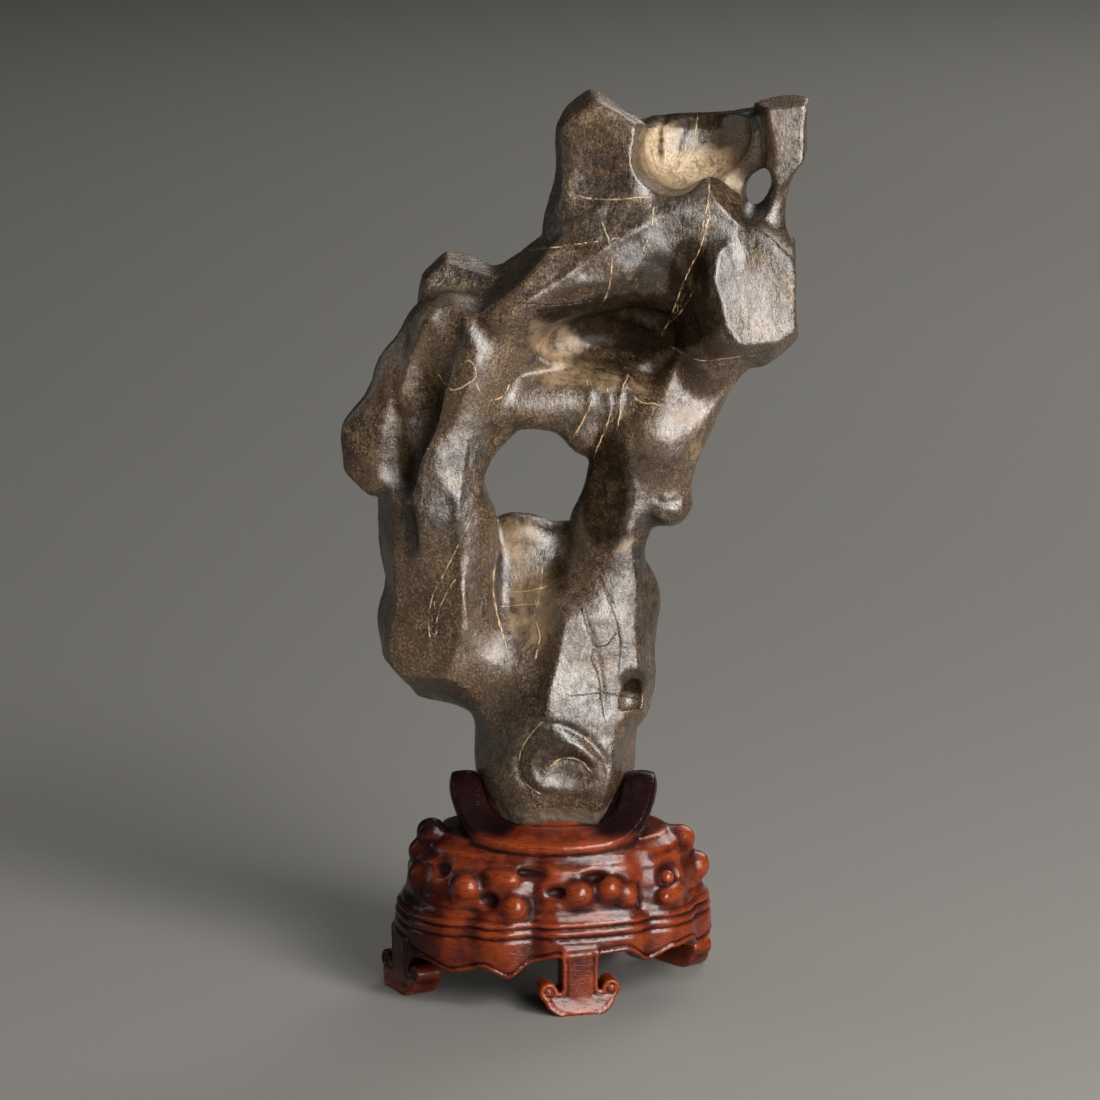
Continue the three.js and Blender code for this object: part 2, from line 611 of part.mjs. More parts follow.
// Mean of the places where the surface crosses the twelve edges of a cell, in cell units.
function cellCrossing(values, at, i, j, k) {
  const sum = [0, 0, 0];
  let crossings = 0;
  for (let a = 0; a < 8; a += 1) {
    for (let axis = 0; axis < 3; axis += 1) {
      if (corners[a][axis] === 0) {
        const [ax, ay, az] = corners[a];
        const other = corners[a].map((value, n) => (n === axis ? 1 : value));
        const from = values[at(i + ax, j + ay, k + az)];
        const to = values[at(i + other[0], j + other[1], k + other[2])];
        if (from < 0 !== to < 0) {
          const t = from / (from - to);
          sum[0] += ax + (axis === 0 ? t : 0);
          sum[1] += ay + (axis === 1 ? t : 0);
          sum[2] += az + (axis === 2 ? t : 0);
          crossings += 1;
        }
      }
    }
  }
  return crossings ? sum.map((value) => value / crossings) : null;
}

function distanceBetween(a, b) {
  return Math.hypot(a[0] - b[0], a[1] - b[1], a[2] - b[2]);
}

// Two triangles for four points, parted along the shorter diagonal.
function addQuad(faces, points, [a, b, c, d]) {
  if (distanceBetween(points[a], points[c]) < distanceBetween(points[b], points[d])) {
    faces.push([a, b, c], [a, c, d]);
  } else {
    faces.push([a, b, d], [b, c, d]);
  }
}

const wasm = await Module();
wasm.setup();

function solidOf({ points, faces }) {
  return new wasm.Manifold(new wasm.Mesh({
    numProp: 3,
    vertProperties: new Float32Array(points.flat()),
    triVerts: new Uint32Array(faces.flat()),
  }));
}

// A three.js box as a solid, from its eight corners.
function blockSolid(size, centre) {
  const box = new THREE.BoxGeometry(...size).translate(...centre);
  const position = box.getAttribute('position');
  const points = [];
  const known = new Map();
  const order = [];
  for (let i = 0; i < position.count; i += 1) {
    const corner = [position.getX(i), position.getY(i), position.getZ(i)];
    const key = corner.join(' ');
    if (!known.has(key)) {
      known.set(key, points.length);
      points.push(corner);
    }
    order.push(known.get(key));
  }
  const index = Array.from(box.getIndex().array, (i) => order[i]);
  const faces = [];
  for (let i = 0; i < index.length; i += 3) {
    faces.push(index.slice(i, i + 3));
  }
  return solidOf({ points, faces });
}

function meshOf(name, solid, colour, roughness) {
  const { vertProperties, triVerts } = solid.getMesh();
  const geometry = new THREE.BufferGeometry();
  geometry.setAttribute('position', new THREE.BufferAttribute(vertProperties, 3));
  geometry.setIndex(new THREE.BufferAttribute(triVerts, 1));
  const material = new THREE.MeshStandardMaterial({ color: colour, roughness, metalness: 0 });
  const mesh = new THREE.Mesh(geometry, material);
  mesh.name = name;
  return mesh;
}

function makeRock() {
  const skin = skinOf(stoneField, [-98, -48, 44], [112, 54, 378], stoneMesh);
  return meshOf('rock', solidOf(skin), 0x4a3f33, 0.35);
}

function makeStand() {
  const skin = skinOf(standField, [-80, -64, -12], [82, 60, 102], woodMesh);
  const floor = blockSolid([cutterSize, cutterSize, cutterSize], [0, 0, -cutterSize / 2]);
  return meshOf('stand', solidOf(skin).subtract(floor), 0x7a2412, 0.3);
}

const object = new THREE.Group();
object.position.set(...wholeShift);
object.add(makeRock());
object.add(makeStand());

export default object;
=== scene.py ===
import math
import time

import bpy
import numpy as np
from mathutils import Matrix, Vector, noise


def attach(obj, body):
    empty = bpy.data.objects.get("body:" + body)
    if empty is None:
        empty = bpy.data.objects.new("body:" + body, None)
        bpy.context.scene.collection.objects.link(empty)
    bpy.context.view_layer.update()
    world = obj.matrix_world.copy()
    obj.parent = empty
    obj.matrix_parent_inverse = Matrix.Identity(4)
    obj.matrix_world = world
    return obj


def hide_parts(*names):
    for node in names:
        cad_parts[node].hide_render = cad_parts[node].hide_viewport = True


# Scholar's rock on its carved wooden stand.
# Shapes are worked out in millimetres, with the stand's middle near zero,
# and are then moved onto the frame in metres. The viewer of the front looks along +y.

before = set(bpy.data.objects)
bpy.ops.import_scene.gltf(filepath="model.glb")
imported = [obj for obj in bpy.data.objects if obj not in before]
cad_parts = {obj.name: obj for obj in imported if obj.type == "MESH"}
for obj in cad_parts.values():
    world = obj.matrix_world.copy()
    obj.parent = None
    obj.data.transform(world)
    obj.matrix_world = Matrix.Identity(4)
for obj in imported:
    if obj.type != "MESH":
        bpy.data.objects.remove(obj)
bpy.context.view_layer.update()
startTime = time.time()

mm = 0.001
wholeShift = np.array([-8.2, 2.1, 0.0])  # from the stand's middle to the middle of the whole
eyePoint = np.array([-0.8, -1760.7, 553.2])  # where the photograph was taken from
aimPoint = np.array([-0.8, 0.0, 179.0])
lensLength = 147.27
filmWidth = 36.0
coarser = 1.0  # a coarser skin while trying things


def report(words):
    print(f"[{time.time() - startTime:6.1f} s] {words}")


# Soft joins and simple solids: a distance is negative inside and positive outside.

def softMin(a, b, width):
    h = np.clip(0.5 + 0.5 * (b - a) / width, 0, 1)
    return b + (a - b) * h - width * h * (1 - h)


def softMax(a, b, width):
    return -softMin(-a, -b, width)


def ovalDistance(x, y, z, half):
    near = np.sqrt((x / half[0]) ** 2 + (y / half[1]) ** 2 + (z / half[2]) ** 2)
    slope = np.sqrt((x / half[0] ** 2) ** 2 + (y / half[1] ** 2) ** 2 + (z / half[2] ** 2) ** 2) + 1e-6
    return near * (near - 1) / slope


def face(at, out, hollow=0.0):
    # a cutting face: a point on it, the way it looks, and how strongly it is hollowed
    return (at, out, hollow)


def limb(start, end, radii, squeeze, blend, faces=(), edge=0.9):
    # a round-ended rod with a radius at each end, squeezed from front to back and cut by faces
    return dict(
        kind="limb", start=start, end=end, radii=radii, squeeze=squeeze,
        blend=blend, faces=faces, edge=edge,
    )


def lump(centre, half, blend, faces=(), turn=0.0, edge=0.9):
    # an oval body, turned in the front view by so many degrees and cut by faces
    return dict(kind="lump", centre=centre, half=half, blend=blend, faces=faces, turn=turn, edge=edge)


def limbDistance(p, shape):
    start = np.array(shape["start"], np.float32)
    along = np.array(shape["end"], np.float32) - start
    offset = p - start
    t = np.clip(offset @ along / (along @ along), 0, 1)
    d = offset - t[:, None] * along
    first, last = shape["radii"]
    squeeze = shape["squeeze"]
    length = np.sqrt(d[:, 0] ** 2 + (d[:, 1] / squeeze) ** 2 + d[:, 2] ** 2)
    return (length - first - (last - first) * t) * squeeze


def lumpDistance(p, shape):
    x, y, z = (p - np.array(shape["centre"], np.float32)).T
    c, s = math.cos(math.radians(shape["turn"])), math.sin(math.radians(shape["turn"]))
    return ovalDistance(x * c - z * s, y, x * s + z * c, shape["half"])


def faceDistance(p, plane):
    # a hollow face dips as the square of the way from its point, and no farther than its rim
    rim = 60
    at, out, hollow = plane
    out = np.array(out, np.float32)
    out = out / np.linalg.norm(out)
    d = p - np.array(at, np.float32)
    height = d @ out
    if not hollow:
        return height
    across = (d ** 2).sum(1) - height ** 2
    return height - 0.5 * hollow * np.minimum(across, rim ** 2)


def shapeDistance(p, shape):
    distance = limbDistance(p, shape) if shape["kind"] == "limb" else lumpDistance(p, shape)
    for plane in shape["faces"]:
        distance = softMax(distance, faceDistance(p, plane), shape["edge"])
    return distance


# The stone: planed masses, then what the water took away.

stone = dict(
    cell=1.2,  # mesh size
    low=(-97, -48, 50),
    high=(111, 54, 374),
    slowWaver=(1.3, 1.3, 1.2),  # how far the edges wander from straight
    quickWaver=0.6,
    ripple=0.22,  # height and size of the unevenness left by the water
    rippleSize=7.0,
    grainRelief=0.10,
    grainSize=2.2,
    roughFootTop=79.0,  # the rough stone just above the collar
    roughFootWave=3.0,
    roughFootFade=2.5,
    roughFootRelief=0.5,
    roughFootGrain=2.6,
    socketTop=74.0,  # below this the skin keeps to its plain shape, clear of the socket
    socketFade=6.0,
)

underRidge = face((24, -17.5, 287), (0.10, -0.74, -0.66), 0.006)
bandFace = face((17.5, -19, 302), (0.16, -0.97, 0.06), 0.007)
overRidge = face((17.5, -19, 302), (-0.115, -0.97, 0.465), 0.003)
darkFace = face((54, -19.5, 290), (-0.54, -0.82, -0.16), 0.018)
bossFace = face((66, -27.5, 285), (0.47, -0.86, 0.20), 0.002)
limbLeft = face((-35, -21, 165), (-0.42, -0.905, 0.02), 0.003)
limbRight = face((-35, -21, 165), (0.74, -0.67, 0.02), 0.014)
upperFront = face((-38, -18, 248), (-0.30, -0.94, 0.14), 0.008)
upperRight = face((-25, -18, 240), (0.62, -0.78, -0.05), 0.008)
hornFace = face((15, -8.5, 332), (-0.25, -0.96, 0.10), 0.002)
hornLeft = face((3.5, -2, 335), (-0.95, -0.30, 0), 0.012)
hornBackLeft = face((1, 8, 335), (-0.90, 0.42, 0), 0.008)
brightFace = face((13, -23.5, 118), (0.28, -0.94, 0.12), 0.0015)
valleyFace = face((1, -22.5, 138), (-0.72, -0.62, 0.30), 0.008)
shoulderFace = face((43, -17, 227), (0.15, -0.94, 0.30), -0.004)

lowerBody = [
    limb((3, 2, 84), (6, 3, 132), (34, 36), 0.85, 4, [
        brightFace, valleyFace,
        face((-20, -20, 104), (-0.45, -0.88, -0.06), 0.01),
        face((-32, -4, 100), (-0.97, -0.20, -0.12)),
        face((34, 0, 112), (0.93, -0.30, -0.22)),
        face((39, 0, 128), (1, -0.20, 0)),
        face((-8, 27, 112), (-0.30, 0.95, 0.12), 0.01),
        face((24, 23, 118), (0.60, 0.80, 0.10), 0.006),
        face((5, -22.5, 76), (0.05, -0.95, -0.30)),
    ]),
    limb((16, 0, 126), (23, 2, 186), (28, 14), 0.9, 6, [
        brightFace,
        face((9, -15, 156), (-0.74, -0.60, 0.30), 0.005),
        face((37, 0, 145), (0.97, -0.20, 0.10)),
    ]),
    limb((-26, 13, 163), (8, 13, 163), (25, 24), 0.5, 5),
]

leftLimb = [
    limb((-46, 0, 138), (-48, 0, 198), (24, 25), 0.95, 5, [
        limbLeft, limbRight,
        face((-66.5, 0, 165), (-1, -0.25, 0)),
        face((-48, -10, 126), (-0.10, -0.42, -0.90), 0.004),
        face((-61, 0, 128), (-0.75, -0.20, -0.65)),
        face((-50, 18, 165), (-0.35, 0.93, 0.10), 0.008),
    ]),
    limb((-48, 0, 198), (-37, 2, 262), (25, 23), 0.95, 5, [
        upperFront, upperRight,
        face((-60, 0, 225), (-1, -0.10, -0.10)),
        face((-40, 19, 235), (-0.10, 0.97, -0.15), 0.008),
    ]),
    limb((-8, 2, 128), (-46, 2, 142), (20, 18), 0.9, 8, [
        face((-24, -19, 125), (0, -0.80, -0.60)),
    ]),
]

wing = [
    limb((-50, 4, 268), (-60, 3, 250), (9, 10), 1, 4, [face((-58, -4, 255), (-0.45, -0.88, 0.15))]),
    limb((-60, 3, 250), (-70, 3, 226), (10, 12), 1, 4, [face((-66, -8, 236), (-0.50, -0.86, 0.02))]),
    lump((-68, 2, 220), (16, 12, 20), 4, [
        face((-71, -6.5, 220), (-0.48, -0.87, -0.04)),
        face((-81.5, 0, 222), (-1, -0.10, 0.03)),
        face((-75, 0, 203.5), (-0.72, 0, -0.70)),
        face((-77, 0, 239), (-0.55, 0, 0.84)),
    ]),
    lump((-37, 14, 279), (20, 16, 23), 3, [
        face((-37, 4, 285), (-0.10, -0.90, 0.45)),
        face((-51.5, 14, 282), (-0.94, -0.10, 0.30)),
        face((-46, 14, 292), (-0.66, -0.10, 0.74)),
        face((-36, 14, 294.5), (0.36, -0.10, 0.93)),
    ]),
]

neckAndHorn = [
    limb((-12, 0, 277), (22, 2, 306), (25, 27), 0.9, 4, [
        underRidge, overRidge, bandFace,
        face((-14, 0, 293), (-0.62, -0.10, 0.78)),
        face((6, 19, 292), (-0.20, 0.90, 0.40), 0.01),
    ]),
    limb((26, 4, 306), (22, 5, 329), (27, 25), 0.9, 4, [
        overRidge, bandFace, underRidge, hornLeft, hornBackLeft,
        face((26, 22, 318), (0.10, 0.97, 0.20)),
    ], edge=2.5),
    limb((21, 5, 326), (20, 5, 346), (26, 24), 0.9, 2, [
        hornFace, hornLeft, hornBackLeft,
        face((2, 0, 349), (-0.90, -0.20, 0.35)),
        face((7, 0, 354), (-0.62, -0.10, 0.78)),
        face((24, 0, 355), (0.47, -0.10, 0.88)),
        face((33.5, 0, 350), (0.95, 0, 0.30)),
        face((26, 19, 345), (0.10, 0.97, 0.15)),
    ], edge=3),
]

middleAndBoss = [
    limb((24, 2, 304), (62, 0, 300), (25, 25), 0.95, 4, [
        underRidge, overRidge, bandFace, darkFace,
        face((64, -14, 324), (0.42, -0.50, 0.76)),
        face((46, -8, 322), (-0.35, -0.50, 0.80)),
        face((52, 21, 298), (0.30, 0.93, -0.10), 0.014),
    ]),
    lump((78, -4, 286), (28, 29, 34), 2, [
        darkFace, bossFace,
        face((80, -16, 262), (0.10, -0.50, -0.86)),
        face((96.5, 0, 283), (1, -0.10, 0)),
        face((84, -12, 309), (0.50, -0.35, 0.80)),
        face((92, -10, 301), (0.75, -0.20, 0.63)),
        face((93, -10, 266), (0.62, -0.30, -0.72)),
        face((72, -14, 313), (-0.25, -0.50, 0.83)),
        face((80, 16, 290), (0.10, 1, 0.10)),
    ]),
    limb((62, -2, 290), (62, -2, 256), (17, 11), 0.9, 4, [darkFace, bossFace]),
    limb((32, -6, 306), (66, -11, 318), (15, 14.5), 0.8, 2, [
        overRidge, bandFace,
        face((63, -12, 330), (0.72, -0.25, 0.64)),
        face((61, -16, 329), (-0.20, -0.35, 0.92)),
    ]),
]

rightLimb = [
    limb((61, 2, 254), (43.5, 0, 226), (13, 17), 0.95, 6, [shoulderFace]),
    limb((43.5, 0, 226), (46, 0, 202), (17, 10.5), 0.9, 6, [shoulderFace]),
    lump((45, -3, 198.5), (7, 7.5, 7), 4),
    limb((34, 2, 222), (22, 2, 180), (16, 14), 0.9, 6, [
        face((15, -5, 200), (-0.85, -0.50, 0)),
        face((33, -14, 202), (-0.60, -0.80, 0.02), 0.008),
    ]),
]

barAndTopWall = [
    limb((-26, 3, 239), (30, 4, 237), (11, 13), 1, 5),
    lump((14, 3, 227), (9, 10, 10), 5),
    lump((-21, 3, 226), (7, 9, 8), 5),
    lump((-12, 11, 184), (9, 8, 6), 6),
    limb((-20, 16, 262), (50, 16, 262), (18, 18), 0.7, 8),
    limb((42, 23, 340), (80, 22, 342), (22, 23), 0.6, 5, [
        face((60, 20, 350), (-0.10, -0.10, 1)),
        face((60, 10, 320), (0, -0.40, -0.90)),
        face((60, 31, 338), (0.15, 0.95, 0.25), 0.012),
        face((95.5, 22, 340), (0.97, 0.20, -0.10)),
    ]),
    limb((46, 21, 322), (78, 19, 316), (12, 12), 0.7, 5),
    lump((89, 6, 341), (15, 15, 25), 2, [
        face((90, -3, 342), (-0.02, -0.99, 0.06)),
        face((98.6, 0, 345), (0.98, -0.10, -0.05)),
        face((90, 0, 356.5), (-0.12, -0.10, 1)),
        face((84, 0, 345), (-1, -0.30, -0.10)),
        face((92.5, 0, 328), (0.75, 0, -0.65)),
    ]),
    limb((89, 4, 332), (87, 3, 305), (4.5, 7), 1, 5),
]

knobsBehind = [
    lump((-62, 15, 150), (9, 10, 11), 8),
    lump((31, 14, 156), (10, 12, 17), 9),
    lump((30, 17, 208), (9, 8, 13), 9, turn=20),
    lump((-6, 22, 284), (12, 8, 9), 9, turn=-30),
]

stoneMasses = (lowerBody + leftLimb + wing + neckAndHorn
               + middleAndBoss + rightLimb + barAndTopWall + knobsBehind)

stoneHollows = [
    lump((-7, 0, 209), (18.5, 60, 17.5), 3),  # the round window
    lump((82, 0, 321), (6, 40, 10), 1.5, turn=12),  # the small window
    limb((46.5, -14, 338.5), (49, -14, 385), (15, 19), 1.5, 0.6),  # the bowl beside the horn, its mouth
    lump((56, 7, 346), (21.5, 17, 24), 1),  # and its inside
    limb((83, -14, 352), (82, -10, 334), (4, 5), 1, 1.5),  # the groove beside the slab
    lump((20, -18, 262), (32, 32, 14.5), 1.6, turn=-4),  # the cave under the neck
    limb((-44, -17.5, 276), (-61, -15.5, 212), (9, 12), 0.7, 2),  # the valley behind the wing
    limb((-12, -12, 188), (-9, -30, 124), (13, 8.5), 1, 1.5),  # the trough under the window
    lump((33, -18, 121), (5.5, 8, 7.5), 0.8, [  # the pocket, with its flat floor
        face((33, -19, 117.5), (0.25, -0.45, -0.85)),
    ], turn=8),
    lump((7, -37, 94), (20, 13.5, 14), 1, turn=20),  # the chipped shell
    lump((38, 47, 284), (24, 25, 16), 5, turn=18),  # the back, from here on
    lump((-47, 40, 214), (12, 21, 27), 4, turn=-8),
    lump((6, 47, 146), (20, 25, 18), 4, turn=12),
    lump((4, 40, 258), (22, 17, 10), 5, turn=-6),
    lump((-30, 44, 118), (20, 26, 13), 4, turn=-20),
    lump((56, 50, 338), (22, 22, 13), 4, turn=-10),
]


def waver(p):
    # a slow waver, so that no edge of the stone runs dead straight
    x, y, z = p.T
    slow, quick = stone["slowWaver"], stone["quickWaver"]
    return np.stack([
        x + slow[0] * np.sin(z / 15 + y / 21) + quick * np.sin(z / 6.1 + x / 17 + 1.1),
        y + slow[1] * np.sin(x / 17 + z / 19 + 2) + quick * np.sin(x / 7.7 + z / 8.3),
        z + slow[2] * np.sin(x / 14 + y / 18 + 4) + quick * np.sin(x / 6.7 + y / 9 + 0.5),
    ], 1).astype(np.float32)


def stoneField(points):
    p = waver(points)
    distance = np.full(len(p), 1000.0, np.float32)
    for shape in stoneMasses:
        distance = softMin(distance, shapeDistance(p, shape), shape["blend"])
    for shape in stoneHollows:
        distance = softMax(distance, -shapeDistance(p, shape), shape["blend"])
    return distance


# The stand: one carved block. Compass directions are in degrees from +x, and places round the
# outline are counted from the stand's own long axis.

stand = dict(
    cell=0.9,  # mesh size
    low=(-80, -64, -3),
    high=(82, 60, 94),
    centre=(0.5, -3.0),
    turn=12.0,  # degrees, the right end swung away
    baseHalf=(64.5, 44.5),
    baseSquareness=2.25,
    shoulderHalf=(46.0, 31.0),
    collarHalf=(35.0, 29.5),
    collarSquareness=2.1,
    collarHeight=67.0,
    collarRise=16.0,
    collarBand=(7.0, 3.3),
    collarEndThickening=2.4,
    collarLean=30.0,
    collarUpsweep=9,  # how suddenly its ends rise
    collarBlend=1.6,
    seatWidth=20,
    neckFoot=54.0,
    bodyTop=66.0,
    hollowTop=27.0,
    apronWall=9.0,
    grainRelief=0.05,
    toolRelief=0.12,  # unevenness left by the carver's tools
    sideSlope=0.88,  # evens out the field where the side leans
    apronTuck=1.6,  # how far the apron draws in towards its lower edge
    apronTuckTop=26.0,
    apronTuckReach=12.0,
    pitBlend=2.6,
    burlBlend=3.4,
    nestedBurlBlend=1.2,
    socketGap=0.45,
    socketFloor=50.0,
    beadGrooves=(31.0, 34.8),  # heights of the two incised lines
    beadDepth=0.9,
    beadWidth=0.8,
    rimLine=(2.6, 0.6, 0.7),  # above the apron's edge: height, width and depth
    rimBead=(1.0, 0.9, 0.5),
    footLine=(1.9, 0.5, 0.55),  # inside the foot's outline: distance, width and depth
    curlLine=(1.5, 0.5, 0.55),
    footHalfNeck=7.4,
    footNeckMiddle=14.0,
    footNeckReach=13.0,
    footFlare=2.5,
    padHeight=6.5,
    padHalf=(14.6, 8.2),
    padTop=9.5,
    flareTop=9.0,
    archOffset=15.4,
    archHeight=17.8,
    archRadius=7.8,
    curlOffset=12.8,
    curlHeight=9.6,
    curlRadius=3.9,
    notchOffset=8.7,
    notchHeight=12.4,
    notchRadius=1.3,
    darkCollarFrom=65.0,  # height above which the collar's arms are dark
    darkArmFrom=0.38,  # share of the way from the front to the ends
    darkLeftFrom=30.0,  # left of the middle by this much painted shade darkens the wood
    darkUnderTo=29.0,  # undersides below this height get painted shade
)

planDents = [  # place round the outline, half width in degrees, depth
    (-113, 7, 3.2), (-141, 6, 3.0), (-50, 6, 2.6), (-22, 6, 2.6),
    (28, 7, 3.0), (62, 7, 2.6), (118, 7, 2.6), (152, 7, 3.0),
]
feet = [  # place, facing, how far in from the outline, thickness
    (-88, -88, 0, 9.5), (18, 28, 0, 9.5), (178, 196, 1.5, 11), (60, 72, 0, 9.5), (120, 108, 0, 9.5),
]
apronEdge = [  # place, height of the apron's lower edge
    (-180, 24), (-170, 24), (-160, 19.5), (-148, 15.5), (-134, 18.5), (-124, 14.5), (-112, 21),
    (-100, 23), (-76, 23.5), (-64, 24), (-50, 18), (-40, 22), (-30, 23), (-20, 18), (0, 23), (25, 22),
    (40, 17), (52, 22), (70, 22), (90, 17), (110, 22), (128, 22), (140, 17), (155, 22), (180, 24),
]
drawIn = [  # height, share of the way from the base outline to the shoulder
    (0, 0), (31, 0), (36, 0.03), (38.5, 0.14), (42, 0.24), (48, 0.31),
    (56, 0.46), (61, 0.66), (65, 0.94), (70, 1), (100, 1),
]
burls = [  # compass direction, height, half width, half height, half depth, how far the middle stands out
    (-171, 65.5, 6.0, 5.5, 6.0, 3.0), (-172, 57, 6.0, 5.6, 5.5, -2.0), (-163, 49, 6.0, 5.5, 5.0, -2.0),
    (-135, 50, 5.6, 5.2, 5.6, -1.5), (-119, 54, 7.0, 3.2, 4.0, -1.9), (-110.5, 43, 4.8, 4.8, 4.6, -1.3),
    (-75, 48, 5.4, 4.8, 4.8, -1.3), (-57, 49.5, 5.2, 4.6, 4.8, -1.3),
    (-48, 46.5, 4.0, 4.0, 3.8, -1.3), (2, 60, 6.5, 5.6, 6.5, -1.5), (3, 48.5, 6.5, 5.6, 5.0, 0),
    (-24, 43.5, 9.0, 4.0, 4.0, -1.8), (132, 50, 7.0, 6.0, 5.0, -1.6), (108, 54, 6.0, 5.0, 4.5, -1.4),
    (82, 47, 8.0, 5.0, 4.5, -1.4), (60, 52, 6.0, 6.0, 5.0, -1.6), (38, 56, 6.0, 5.5, 4.6, -1.5),
    (152, 57, 6.0, 6.0, 5.0, -1.6), (172, 47, 6.0, 5.0, 4.0, -1.3), (20, 46, 5.0, 5.0, 4.0, -1.3),
]
burlHollows = [
    (-122.5, 45.5, 3.6, 3.0, 3.6, 0.5), (-88, 49, 4.4, 2.4, 3.6, 0.5), (-42, 45, 1.8, 5.0, 3.4, 0.7),
    (-26, 51, 6.0, 6.2, 4.5, 0.9), (-103, 56.5, 6.0, 2.0, 2.6, 0.5), (-66, 54, 5.0, 2.2, 2.8, 0.6),
    (-148, 57, 4.0, 4.0, 3.0, 0.6), (95, 50, 4.0, 4.0, 3.4, 0.7), (48, 46, 4.0, 4.0, 3.4, 0.7),
    (120, 46, 3.5, 4.0, 3.4, 0.7),
]
burlInHollow = (-25, 50, 3.2, 3.2, 3.4, -2.2)


def eased(knots, at):
    # a value between the knots, with no corner at them
    places = np.array(knots, float)
    i = np.clip(np.searchsorted(places[:, 0], at) - 1, 0, len(places) - 2)
    t = np.clip((at - places[i, 0]) / (places[i + 1, 0] - places[i, 0]), 0, 1)
    return places[i, 1] + (places[i + 1, 1] - places[i, 1]) * t * t * (3 - 2 * t)


def wrapDegrees(angle):
    return (angle + 180) % 360 - 180


def ovalRadius(angle, half, squareness):
    c = np.abs(np.cos(np.radians(angle))) / half[0]
    s = np.abs(np.sin(np.radians(angle))) / half[1]
    return (c ** squareness + s ** squareness) ** (-1 / squareness)


def baseRadius(place):
    radius = ovalRadius(place, stand["baseHalf"], stand["baseSquareness"])
    for at, halfWidth, depth in planDents:
        radius = radius - depth * np.exp(-(wrapDegrees(place - at) / halfWidth) ** 2)
    return radius


def sideRadius(compass, z):
    low = baseRadius(wrapDegrees(compass - stand["turn"]))
    high = ovalRadius(compass, stand["shoulderHalf"], stand["collarSquareness"])
    return low + (high - low) * eased(drawIn, z)


def burlDistance(dx, dy, z, burl):
    compass, height, halfWidth, halfHeight, halfDepth, out = burl
    c, s = math.cos(math.radians(compass)), math.sin(math.radians(compass))
    radial = dx * c + dy * s - float(sideRadius(np.array(compass, float), height)) - out
    across = -dx * s + dy * c
    return ovalDistance(radial, across, z - height, (halfDepth, halfWidth, halfHeight))


def collarDistance(radius, compass, z):
    # a band like a saddle: level at the front and back, swept up at both ends
    end = np.abs(np.cos(np.radians(compass)))
    middle = ovalRadius(compass, stand["collarHalf"], stand["collarSquareness"])
    height = stand["collarHeight"] + stand["collarRise"] * end ** stand["collarUpsweep"]
    lean = np.radians(stand["collarLean"]) * (1 - end ** 4)
    dr, dz = radius - middle, z - height
    across = np.abs(dr * np.cos(lean) - dz * np.sin(lean))
    through = np.abs(dr * np.sin(lean) + dz * np.cos(lean))
    halfWidth, halfThickness = stand["collarBand"]
    thickness = halfThickness + stand["collarEndThickening"] * end ** 6
    reach = np.hypot(across / halfWidth, through / thickness)
    square = np.maximum(across / halfWidth, through / thickness)
    band = ((reach + square) / 2 - 1) * np.minimum(halfWidth, thickness)
    seat = height + np.clip(middle - radius, 0, stand["seatWidth"]) * np.tan(lean)
    neck = softMax(radius - middle - 1, z - seat, 1)
    return softMin(softMax(neck, stand["neckFoot"] - z, 1), band, 2)


def flatOval(x, z, half):
    near = np.hypot(x / half[0], z / half[1])
    slope = np.hypot(x / half[0] ** 2, z / half[1] ** 2) + 1e-6
    return near * (near - 1) / slope


def carvedLine(away, line):
    at, width, depth = line
    return depth * np.exp(-((away - at) / width) ** 2)


def footDistance(dx, dy, z, foot):
    place, facing, inset, thickness = foot
    radius = float(ovalRadius(place, stand["baseHalf"], stand["baseSquareness"])) - inset
    at = math.radians(place + stand["turn"])
    turned = math.radians(facing + stand["turn"])
    px, py = dx - radius * math.cos(at), dy - radius * math.sin(at)
    across = -px * math.sin(turned) + py * math.cos(turned)
    outwards = px * math.cos(turned) + py * math.sin(turned)
    aside = np.abs(across)
    upAndDown = np.abs(z - stand["footNeckMiddle"]) - stand["footNeckReach"]
    neck = softMax(aside - stand["footHalfNeck"], upAndDown, 1.5)
    pad = flatOval(aside, z - stand["padHeight"], stand["padHalf"])
    outline = softMin(neck, softMax(pad, z - stand["padTop"], 1.5), 1.5)
    arch = np.hypot(aside - stand["archOffset"], z - stand["archHeight"]) - stand["archRadius"]
    outline = softMax(outline, -arch, 1)
    fromCurl = np.hypot(aside - stand["curlOffset"], z - stand["curlHeight"])
    outline = softMin(outline, fromCurl - stand["curlRadius"], 0.8)
    notch = np.hypot(aside - stand["notchOffset"], z - stand["notchHeight"]) - stand["notchRadius"]
    outline = softMax(outline, -notch, 0.6)
    flare = stand["footFlare"] * np.clip(1 - z / stand["flareTop"], 0, 1) ** 2
    carved = carvedLine(-outline, stand["footLine"]) + carvedLine(fromCurl, stand["curlLine"])
    slab = softMax(outwards - 0.6 - flare + carved, -(outwards + thickness), 2)
    return softMax(softMax(outline, slab, 1.5), -z, 0.5)


